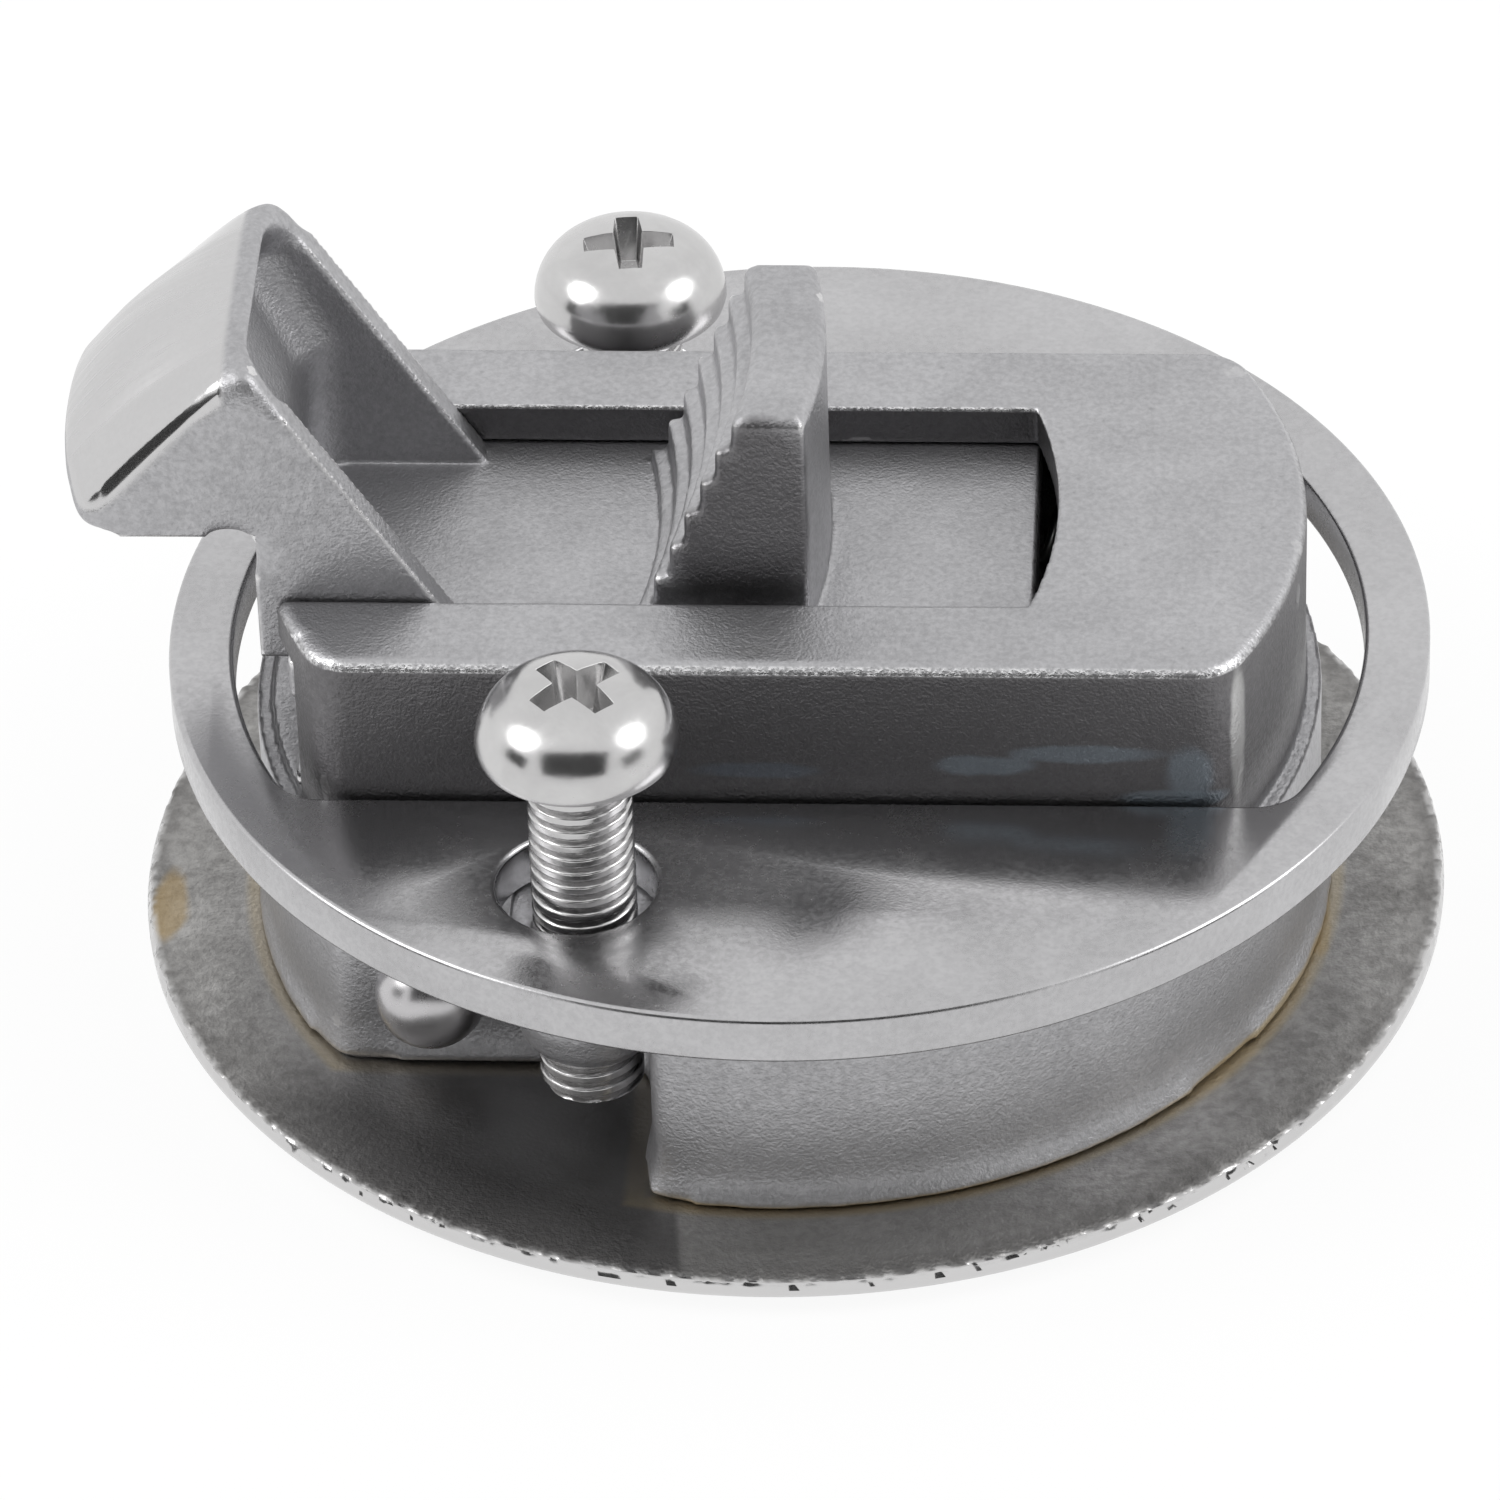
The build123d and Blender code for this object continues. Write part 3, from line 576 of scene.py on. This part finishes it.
def flange_metal():
    """Polished in front and on the rim, rough and stained behind."""
    material, tree, shader, coords = new_material("flange_steel")
    place = node(tree, "ShaderNodeSeparateXYZ", {0: coords}).outputs
    radius = node(tree, "ShaderNodeVectorMath",
                  {0: node(tree, "ShaderNodeCombineXYZ", {0: place[0], 1: place[1]}).outputs[0]},
                  operation="LENGTH").outputs["Value"]
    inner = ramp(tree, radius, 0.0309, 0.0314, 1.0, 0.0)
    behind = times(tree, ramp(tree, place[2], 0.0011, 0.0019), inner)
    rough_side = maths(tree, "MAXIMUM", behind, ramp(tree, place[2], 0.00175, 0.00195))
    grain = group(tree, grain_group(), {"Vector": coords, "Grain scale": 4800.0, "Pits": 0.4})
    clouds = group(tree, mottle_group(), {"Vector": coords, "Scale": 170.0, "Low": 0.25, "High": 0.75})
    speckle = group(tree, mottle_group(), {"Vector": coords, "Scale": 1600.0, "Low": 0.3, "High": 0.7})
    value = maths(tree, "ADD", times(tree, clouds["Value"], 0.6), times(tree, speckle["Value"], 0.4))
    colour = blend(tree, rough_side, rgb(finish().polished), stained_back(tree, coords, place, radius, value))
    tree.links.new(colour, shader.inputs["Base Color"])
    marks = node(tree, "ShaderNodeTexNoise", {"Vector": coords, "Scale": 500.0, "Detail": 5.0})
    shine = ramp(tree, marks.outputs["Fac"], 0.3, 0.7, 0.09, 0.2)
    dull = ramp(tree, value, 0.0, 1.0, 0.62, 0.44)
    tree.links.new(between(tree, rough_side, shine, dull), shader.inputs["Roughness"])
    height = times(tree, grain["Height"], rough_side)
    bump = node(tree, "ShaderNodeBump", {"Height": height, "Strength": 0.6, "Distance": 0.00007})
    tree.links.new(bump.outputs[0], shader.inputs["Normal"])
    return material


def stained_back(tree, coords, place, radius, value):
    """The flange's back: painted shade in front, dirty at its edge, with stains and a heat-tinted seam."""
    colour = blend(tree, value, rgb((0.235, 0.23, 0.224)), rgb((0.48, 0.472, 0.462)))
    # painted shade: the front left of the back, up to a slanted line, is darkened towards near black
    slant = maths(tree, "ADD", place[0], times(tree, maths(tree, "ADD", place[1], 0.0265), 0.1))
    past_line = ramp(tree, slant, -0.0045, -0.0041, 0.0, 1.0)
    in_front = ramp(tree, place[1], -0.012, -0.020)
    front_shade = times(tree, in_front, maths(tree, "SUBTRACT", 1.0, past_line))
    front_shade = times(tree, front_shade, ramp(tree, place[0], -0.030, -0.018))
    colour = blend(tree, times(tree, front_shade, 0.75), colour, rgb((0.115, 0.112, 0.112)))
    edge_dirt = ramp(tree, radius, 0.0298, 0.0312)
    colour = blend(tree, times(tree, edge_dirt, 0.45), colour, rgb((0.12, 0.116, 0.114)))
    for centre, reach, amount in (((-0.0301, -0.0039, 0.002), (0.0011, 0.0034, 0.002), 0.6),
                                  ((0.0256, -0.0043, 0.002), (0.0006, 0.0028, 0.002), 0.7)):
        spot = group(tree, spot_group(), {"Vector": coords, "Centre": centre, "Reach": reach})
        colour = blend(tree, times(tree, spot["Mask"], amount), colour, rgb((0.42, 0.30, 0.13)))
    relief = maths(tree, "MAXIMUM", maths(tree, "SUBTRACT", place[0], SEAM_RELIEF_X * MM),
                   maths(tree, "SUBTRACT", SEAM_RELIEF_Y * MM, maths(tree, "ABSOLUTE", place[1])))
    foot = maths(tree, "MAXIMUM", maths(tree, "SUBTRACT", radius, SEAM_RADIUS * MM), times(tree, relief, -1.0))
    seam = ramp(tree, maths(tree, "ABSOLUTE", foot), 0.0002, 0.0008, 1.0, 0.0)
    return blend(tree, times(tree, seam, 0.5), colour, rgb(finish().heat_tint))


class LatchBody(bpy.types.Operator):
    """Adds the cast drum and housing."""

    bl_idname = "latch.body"
    bl_label = "Drum and housing"

    def execute(self, context):
        body = copy_of_node("latch_body", "cast_drum")
        for side in (1, -1):
            cone = [(2.52, 7.6), (2.9, 7.6), (3.3, 8.2), (3.66, 9.6), (3.6, 10.5), (2.52, 10.5), (2.52, 7.6)]
            collar = spun(cone, 72)
            collar.location = (SCREW_X * MM, side * SCREW_Y * MM, 0)
            settle(collar, "lug_collar")
            cut(body, collar, "UNION")
        remesh_casting(body, 8, 4)
        soften_region(body, "foot", on_foot, 150)
        soften_region(body, "relief_edges", on_relief_edge, 110)
        soften_region(body, "bolt_end", lambda x, y, z: x < -20.6 and z > 14.2 and abs(y) > 10.2, 25)
        settle_casting(body, 0.00005, sizes().casting_faces)
        tint, bluish = finish().heat_tint, (0.36, 0.43, 0.49)
        stains_and_painted_light = [
            ((0.0098, -0.0130, 0.0179), (0.0028, 0.0030, 0.0007), bluish, 0.5, 0.34),
            ((0.0146, -0.0130, 0.0186), (0.0042, 0.0030, 0.0006), bluish, 0.5, 0.34),
            ((0.0194, -0.0130, 0.0176), (0.0013, 0.0030, 0.0018), bluish, 0.5, 0.34),
            ((0.0186, -0.0130, 0.0160), (0.0032, 0.0030, 0.0006), bluish, 0.5, 0.34),
            ((-0.0006, -0.0130, 0.0175), (0.0034, 0.0030, 0.0006), (0.22, 0.26, 0.31), 0.5, 0.36),
            # painted highlight: a pale streak down the right front corner of the housing
            ((0.0217, -0.0121, 0.0190), (0.0005, 0.0011, 0.0048), (0.70, 0.70, 0.69), 0.55, 0.3),
            ((0.0220, -0.0100, 0.0018), (0.0090, 0.0120, 0.0005), tint, 0.6, 0.4),
            ((0.0, -0.0255, 0.0016), (0.0300, 0.0100, 0.0004), tint, 0.55, 0.4),
        ]
        # painted shade darkens upright faces above 13.5 mm, and the rubbed front chamfer above 22.5 mm carries
        # a painted highlight
        metal = cast_steel("cast_steel_body", finish().grain_depth, stains_and_painted_light=stains_and_painted_light, edges=0.3, side=0.28,
                           side_from=0.0135, rub_highlight_from=0.0225)
        finish_piece(body, metal, "drum", "cast_body", "latch_body")
        return {"FINISHED"}


def on_foot(x, y, z):
    """Whether a place lies on the outside of the drum near the flange."""
    return z < 4.2 and max(hypot(x, y) - 25.2, abs(y) - 14.7) > 0


def on_relief_edge(x, y, z):
    """Whether a place lies on one of the upright edges of the two screw reliefs."""
    if not 1.6 < z < 12.8:
        return False
    corner = hypot(abs(x) - RELIEF_CORNER[0], abs(y) - RELIEF_CORNER[1])
    return corner < 2.6 or hypot(x - RELIEF_END[0], abs(y) - RELIEF_END[1]) < 2.2


class LatchBolt(bpy.types.Operator):
    """Adds the slam bolt with its tongue and thumb tab."""

    bl_idname = "latch.bolt"
    bl_label = "Slam bolt"

    def execute(self, context):
        bolt = copy_of_node("slide_bolt", "slam_bolt")
        remesh_casting(bolt, 8, 4, 0.81)
        crown_bevel(bolt)
        soften_region(bolt, "bevel_edges", on_bevel_edge, 240)
        soften_region(bolt, "nose", lambda x, y, z: x < -31.4, 45)
        soften_region(bolt, "ridge", lambda x, y, z: min(1.0, max(0.0, z - 33.6)), 60)
        soften_region(bolt, "neck", lambda x, y, z: hypot(x - NECK_X, z - CATCH_Z) < 2.2, 110)
        soften_region(bolt, "tab_steps", lambda x, y, z: -9.0 < x < -1.4 and z > 22.0 and abs(y) < 7.4, 16)
        settle_casting(bolt, 0.00003, sizes().casting_faces)
        finish_piece(bolt, bolt_metal(), "bolt", "cast_bolt", "slide_bolt")
        return {"FINISHED"}


def bevel_height(x):
    """The height of the CAD bolt's slam bevel above a place on X, which follows an arc."""
    centre_x, centre_z, radius = BEVEL_ARC
    return centre_z + sqrt(max(0.0, radius ** 2 - (x - centre_x) ** 2))


def side_height(x):
    """The height of the bevel's two side edges, which run straight from the ridge to the nose."""
    (ridge_x, ridge_z), (nose_x, nose_z) = BEVEL_RIDGE, BEVEL_NOSE
    return max(nose_z, ridge_z + (x - ridge_x) * (ridge_z - nose_z) / (ridge_x - nose_x))


def crown_bevel(bolt):
    """Lets the slam bevel fall away to both sides, so that it is crowned."""
    for vertex in bolt.data.vertices:
        x, y, z = vertex.co / MM
        if x < BEVEL_RIDGE[0] and z > CATCH_Z:
            height = bevel_height(x)
            lower = (height - side_height(x)) * min(1.0, (y / TONGUE_HALF_Y) ** 2)
            vertex.co.z = (CATCH_Z + (z - CATCH_Z) * (height - lower - CATCH_Z) / (height - CATCH_Z)) * MM


def on_bevel_edge(x, y, z):
    """How much a place belongs to the rounded edges of the slam bevel, from 0 to 1."""
    if z < CATCH_Z - 0.3 or x > BEVEL_RIDGE[0] + 1.8:
        return 0.0
    top = bevel_height(x) - (bevel_height(x) - side_height(x)) * min(1.0, (y / TONGUE_HALF_Y) ** 2)
    if abs(y) < 4.6 or z < top - 2.8:
        return 0.0
    return min(1.0, (BEVEL_RIDGE[0] + 1.8 - x) / 2.0)


def bolt_metal():
    """Blasted all over, but ground smooth on the slam bevel and polished along its edges."""
    # painted shade: a dark patch on the front face of the thumb tab
    tab_front_shade = [((-0.0015, -0.0068, 0.0275), (0.0065, 0.0012, 0.0075), (0.15, 0.146, 0.15), 0.8, 0.36)]
    return cast_steel("cast_steel_bolt", finish().grain_depth * 0.8, pits=0.0, stains_and_painted_light=tab_front_shade, bevel=True)


class LatchRing(bpy.types.Operator):
    """Adds the clamp ring."""

    bl_idname = "latch.ring"
    bl_label = "Clamp ring"

    def execute(self, context):
        low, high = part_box("clamp_ring")
        bottom, top = low.z / MM, high.z / MM
        ring = raised_plan(arc((0, 0), sizes().ring_radius / MM, 0, 358.75, 287), bottom, top)
        cut(ring, raised_plan(strip_outline(*RING_OPENING), bottom - 1, top + 1))
        for side in (1, -1):
            hole = arc((RING_HOLE_X, side * SCREW_Y), RING_HOLE_RADIUS, 0, 352.5, 47)
            cut(ring, raised_plan(hole, bottom - 1, top + 1))
        modify(ring, "BEVEL", width=0.28 * MM, segments=3, limit_method="ANGLE", angle_limit=radians(40))
        ring.location = ((low.x + high.x) / 2, (low.y + high.y) / 2, 0)
        settle(ring, "clamp_plate")
        shade_by_angle(ring, 35)
        finish_piece(ring, ring_metal(), "ring", "satin_ring", "clamp_ring")
        return {"FINISHED"}


def ring_metal():
    """Half glossy plate with cloudy rubbed patches."""
    material, tree, shader, coords = new_material("ring_steel")
    clouds = group(tree, mottle_group(), {"Vector": coords, "Scale": 120.0, "Low": 0.25, "High": 0.75})
    speckle = group(tree, mottle_group(), {"Vector": coords, "Scale": 3000.0, "Low": 0.3, "High": 0.7})
    value = maths(tree, "ADD", times(tree, clouds["Value"], 0.6), times(tree, speckle["Value"], 0.4))
    colour = blend(tree, value, rgb((0.42, 0.417, 0.424)), rgb((0.55, 0.546, 0.556)))
    tree.links.new(colour, shader.inputs["Base Color"])
    base = finish().ring_roughness
    tree.links.new(ramp(tree, value, 0.0, 1.0, base + 0.1, base - 0.04), shader.inputs["Roughness"])
    grain = group(tree, grain_group(), {"Vector": coords, "Grain scale": 7000.0, "Pits": 0.1})
    bump = node(tree, "ShaderNodeBump", {"Height": grain["Height"], "Strength": 0.35, "Distance": 0.00001})
    tree.links.new(bump.outputs[0], shader.inputs["Normal"])
    return material


class LatchScrews(bpy.types.Operator):
    """Adds the two clamp screws, with cut threads and cross recesses."""

    bl_idname = "latch.screws"
    bl_label = "Clamp screws"

    def execute(self, context):
        metal = smooth_steel("screw_steel", finish().polished, 0.1, 1500.0)
        for name, body, turn in (("front", "screw_front", 42), ("rear", "screw_rear", 6)):
            node_name = "clamp_screw_" + name
            low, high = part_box(node_name)
            screw = make_screw(turn)
            screw.location = ((low.x + high.x) / 2, (low.y + high.y) / 2, low.z)
            settle(screw, "screw_" + name)
            shade_by_angle(screw, 62)
            finish_piece(screw, metal, body, "screw_steel", node_name)
        return {"FINISHED"}


def make_screw(turn):
    """A screw that stands on its tip at the origin, its head turned by some degrees."""
    length, head = 19.5, 3.7
    rings = int(length * 16 / (sizes().thread_pitch / MM))
    side = [(2.4, 0.35 + (length + 0.05) * i / rings) for i in range(rings)]
    shank = spun([(0, 0), (1.9, 0), *side, (2.4, length + 0.4), (0, length + 0.4)], 64)
    cut_thread(shank, sizes().thread_pitch)
    top = length + head
    dome = [(0, length), (4.3, length), (4.62, length + 0.12), (4.72, length + 0.5)]
    for i in range(1, 13):
        a = i / 12 * pi / 2
        dome.append((4.72 * cos(a) ** 0.62, length + 0.5 + (head - 0.5) * sin(a) ** 1.05))
    pan = spun([*dome[:-1], (0, top)], 96)
    cut(pan, cross_tool(top))
    modify(pan, "BEVEL", width=0.1 * MM, segments=2, limit_method="ANGLE", angle_limit=radians(35))
    pan.rotation_euler.z = radians(turn)
    pick(pan)
    bpy.ops.object.transform_apply(rotation=True)
    cut(pan, shank, "UNION")
    return pan


def cut_thread(shank, pitch):
    """Moves the shank's side in and out along a helix, shallower towards the tip."""
    for vertex in shank.data.vertices:
        radius = hypot(vertex.co.x, vertex.co.y)
        if radius < 2.0 * MM:
            continue
        turn = (vertex.co.z / pitch - atan2(vertex.co.y, vertex.co.x) / (2 * pi)) % 1.0
        tooth = min(1.0, max(0.0, 2.1 - 4.4 * abs(turn - 0.5)))
        outer = min(2.45, 1.95 + vertex.co.z / MM * 1.1) * MM
        wanted = min(outer, (2.0 + 0.45 * tooth) * MM)
        vertex.co.x *= wanted / radius
        vertex.co.y *= wanted / radius


def cross_tool(top):
    """The tapered cross that cuts a screw's recess."""
    wide, narrow, depth = 2.45, 0.62, 2.3
    corners = []
    for quarter in range(4):
        a = radians(90 * quarter)
        for x, y in ((wide, -narrow), (wide, narrow), (narrow * 1.25, narrow * 1.25)):
            corners.append((x * cos(a) - y * sin(a), x * sin(a) + y * cos(a)))
    tool = raised_plan(corners, top - depth, top + 0.6)
    pick(tool)
    bpy.ops.object.mode_set(mode="EDIT")
    edit = bmesh.from_edit_mesh(tool.data)
    for vertex in edit.verts:
        if vertex.co.z < (top - depth / 2) * MM:
            vertex.co.x *= 0.62
            vertex.co.y *= 0.62
    bmesh.update_edit_mesh(tool.data)
    bpy.ops.object.mode_set(mode="OBJECT")
    return tool


class LatchPin(bpy.types.Operator):
    """Adds the riveted pivot pin."""

    bl_idname = "latch.pin"
    bl_label = "Pivot pin"

    def execute(self, context):
        low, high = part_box("handle_pin")
        half = (high.y - low.y) / 2 / MM
        dome = [(2.65 * cos(radians(a)) ** 0.85, half - 2.0 + 2.35 * sin(radians(a))) for a in range(0, 90, 9)]
        upper = [(1.6, half - 2.0), (2.4, half - 2.0), *dome, (0, half + 0.35)]
        lower = [(r, -z) for r, z in reversed(upper)]
        pin = spun(lower + upper, 72)
        pin.rotation_euler.x = radians(90)
        pin.location = ((low.x + high.x) / 2, 0, (low.z + high.z) / 2)
        settle(pin, "pivot_pin")
        shade_by_angle(pin, 35)
        metal = smooth_steel("pin_steel", (0.6, 0.59, 0.6), 0.16)
        finish_piece(pin, metal, "drum", "polished_pin", "handle_pin")
        return {"FINISHED"}


class LatchHandle(bpy.types.Operator):
    """Adds the flush pull handle with its lever."""

    bl_idname = "latch.handle"
    bl_label = "Pull handle"

    def execute(self, context):
        handle = copy_of_node("pull_handle", "flush_handle")
        remesh_casting(handle, 7, 3)
        settle_casting(handle, 0.0, 90000)
        metal = smooth_steel("handle_steel", finish().polished, 0.12)
        finish_piece(handle, metal, "handle", "polished_handle", "pull_handle")
        return {"FINISHED"}


def coil(radius, wire, pitch, turns):
    """Round wire wound round Z from height 0, in millimetres, with flat closed ends."""
    clear_selection()
    bpy.ops.mesh.primitive_circle_add(vertices=10, radius=wire / 2 * MM, fill_type="NGON",
                                      location=(radius * MM, 0, 0), rotation=(pi / 2, 0, 0))
    obj = bpy.context.object
    pick(obj)
    bpy.ops.object.transform_apply(location=True, rotation=True)
    modify(obj, "SCREW", angle=2 * pi, screw_offset=pitch * MM, iterations=turns, steps=36,
           render_steps=36, use_merge_vertices=True, merge_threshold=1e-7, use_normal_calculate=True)
    pick(obj)
    bpy.ops.object.mode_set(mode="EDIT")
    bpy.ops.mesh.select_all(action="SELECT")
    bpy.ops.mesh.fill_holes(sides=0)
    clean_mesh(obj)
    return obj


class LatchSprings(bpy.types.Operator):
    """Adds the two compression springs behind the bolt."""

    bl_idname = "latch.springs"
    bl_label = "Bolt springs"

    def execute(self, context):
        metal = smooth_steel("spring_steel", (0.5, 0.5, 0.49), 0.22)
        for name in ("front", "rear"):
            node_name = "bolt_spring_" + name
            low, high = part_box(node_name)
            wire, turns = 0.6, 7
            length = (high.x - low.x) / MM - wire - 0.1
            spring = coil(1.9, wire, length / turns, turns)
            spring.rotation_euler.y = radians(90)
            spring.location = (low.x + (wire / 2 + 0.05) * MM, (low.y + high.y) / 2, (low.z + high.z) / 2)
            settle(spring, "coil_" + name)
            shade_by_angle(spring, 60)
            finish_piece(spring, metal, "drum", "spring_wire", node_name)
        return {"FINISHED"}


class LatchTwistSpring(bpy.types.Operator):
    """Adds the torsion spring on the handle's hub."""

    bl_idname = "latch.twist_spring"
    bl_label = "Handle spring"

    def execute(self, context):
        spring = copy_of_node("handle_spring", "twist_spring")
        modify(spring, "REMESH", mode="VOXEL", voxel_size=0.12 * MM, use_smooth_shade=True)
        modify(spring, "SMOOTH", factor=0.5, iterations=6)
        pick(spring)
        bpy.ops.object.shade_smooth()
        metal = bpy.data.materials["spring_steel"]
        finish_piece(spring, metal, "drum", "spring_wire", "handle_spring")
        return {"FINISHED"}


# Stage


class LatchStage(bpy.types.Operator):
    """Adds the floor, the studio light and the camera at the photograph's angle."""

    bl_idname = "latch.stage"
    bl_label = "Floor, light and camera"

    def execute(self, context):
        add_floor()
        light_world()
        add_card("card_front", (0.0, -0.95, 0.52), 1.5, 0.85, 0.05)
        add_card("card_left", (-0.90, -0.38, 0.22), 0.45, 0.3, 0.05)
        add_card("card_right", (0.90, -0.38, 0.22), 0.45, 0.3, 0.05)
        add_softbox("softbox_left", (-0.75, -0.15, 0.65), 0.6, 2.4)
        add_softbox("softbox_right", (0.75, -0.05, 0.60), 0.55, 2.0)
        add_camera()
        context.scene.view_settings.view_transform = "Standard"
        return {"FINISHED"}


def add_floor():
    clear_selection()
    bpy.ops.mesh.primitive_grid_add(x_subdivisions=4, y_subdivisions=4, size=6.0, location=(0, 0, -0.00002))
    floor = bpy.context.object
    settle(floor, "floor")
    material, tree, shader, _ = new_material("floor_paper")
    shader.inputs["Metallic"].default_value = 0.0
    shader.inputs["Base Color"].default_value = (0.96, 0.96, 0.96, 1)
    shader.inputs["Roughness"].default_value = 0.9
    seen = times(tree, looked_at(tree), 0.9)
    glow = node(tree, "ShaderNodeEmission", {"Color": (1, 1, 1, 1), "Strength": 1.0}).outputs[0]
    mix = node(tree, "ShaderNodeMixShader", {0: seen, 1: shader.outputs[0], 2: glow}).outputs[0]
    tree.links.new(mix, tree.nodes["Material Output"].inputs["Surface"])
    floor.data.materials.append(material)


def looked_at(tree):
    """1 where the camera or a reflection looks at the surface."""
    path = node(tree, "ShaderNodeLightPath").outputs
    glossy = maths(tree, "MAXIMUM", path["Is Glossy Ray"], path["Is Transmission Ray"])
    return maths(tree, "MAXIMUM", path["Is Camera Ray"], glossy)


def light_world():
    """A plain, even and white light from all sides."""
    world = bpy.data.worlds.new("studio")
    bpy.context.scene.world = world
    world.use_nodes = True
    tree = world.node_tree
    tree.nodes.clear()
    even = node(tree, "ShaderNodeBackground", {"Color": (1, 1, 1, 1), "Strength": 1.0}).outputs[0]
    node(tree, "ShaderNodeOutputWorld", {"Surface": even})


def add_card(name, place, width, height, tone):
    """A card that faces the latch and shows only in the metal's reflections."""
    clear_selection()
    bpy.ops.mesh.primitive_plane_add(size=1.0)
    card = bpy.context.object
    card.scale = (width, height, 1)
    card.rotation_euler = (Vector((0, 0, 0.01)) - Vector(place)).to_track_quat("Z", "Y").to_euler()
    card.location = place
    settle(card, name)
    material, _, shader, _ = new_material(name + "_paint")
    shader.inputs["Metallic"].default_value = 0.0
    shader.inputs["Base Color"].default_value = (tone, tone, tone, 1)
    shader.inputs["Roughness"].default_value = 1.0
    card.data.materials.append(material)
    card.visible_camera = False
    card.visible_shadow = False


def add_softbox(name, place, size, power):
    """A round lamp that faces the latch."""
    clear_selection()
    bpy.ops.object.light_add(type="AREA", location=place)
    lamp = bpy.context.object
    lamp.name = name
    lamp.data.name = name
    lamp.data.shape = "DISK"
    lamp.data.size = size
    lamp.data.energy = power
    lamp.rotation_euler = (Vector((0, 0, 0.01)) - Vector(place)).to_track_quat("-Z", "Y").to_euler()


def add_camera():
    """The photograph's view: azimuth, height, roll and distance were fitted to the latch's outlines."""
    turn, height, roll, distance = radians(4.065), radians(37.448), radians(-2.006), 0.5
    target = Vector((-1.995, 0, 8.793)) * MM
    back = Vector((sin(turn) * cos(height), -cos(turn) * cos(height), sin(height)))
    right = Vector((0, 0, 1)).cross(back).normalized()
    up = back.cross(right)
    right2 = right * cos(roll) + up * sin(roll)
    up2 = -right * sin(roll) + up * cos(roll)
    clear_selection()
    bpy.ops.object.camera_add()
    camera = bpy.context.object
    camera.name = "photo_camera"
    turned = Matrix((right2, up2, back)).transposed().to_4x4()
    camera.matrix_world = Matrix.Translation(target + back * distance) @ turned
    camera.data.sensor_width = 36
    camera.data.lens = 248.9
    camera.data.clip_start = 0.01
    bpy.context.scene.camera = camera


class LatchPanel(bpy.types.Panel):
    """Lists the steps that build the latch."""

    bl_idname = "LATCH_PT_build"
    bl_label = "Slam latch"
    bl_space_type = "VIEW_3D"
    bl_region_type = "UI"
    bl_category = "Latch"

    def draw(self, context):
        column = self.layout.column()
        for step in STEPS:
            column.operator(step.bl_idname)
        for settings in (context.scene.latch_sizes, context.scene.latch_finish):
            for name in settings.__annotations__:
                column.prop(settings, name)


STEPS = (
    LatchStage,
    LatchFlange,
    LatchBody,
    LatchBolt,
    LatchRing,
    LatchScrews,
    LatchPin,
    LatchHandle,
    LatchSprings,
    LatchTwistSpring,
)
CLASSES = (LatchSizes, LatchFinish, *STEPS, LatchPanel)


def register():
    for item in CLASSES:
        bpy.utils.register_class(item)
    bpy.types.Scene.latch_sizes = bpy.props.PointerProperty(type=LatchSizes)
    bpy.types.Scene.latch_finish = bpy.props.PointerProperty(type=LatchFinish)


def unregister():
    del bpy.types.Scene.latch_finish
    del bpy.types.Scene.latch_sizes
    for item in reversed(CLASSES):
        bpy.utils.unregister_class(item)


def main():
    register()
    bpy.ops.latch.stage()
    bpy.ops.latch.flange()
    bpy.ops.latch.body()
    bpy.ops.latch.bolt()
    bpy.ops.latch.ring()
    bpy.ops.latch.screws()
    bpy.ops.latch.pin()
    bpy.ops.latch.handle()
    bpy.ops.latch.springs()
    bpy.ops.latch.twist_spring()
    bpy.context.view_layer.update()


if __name__ == "__main__":
    main()
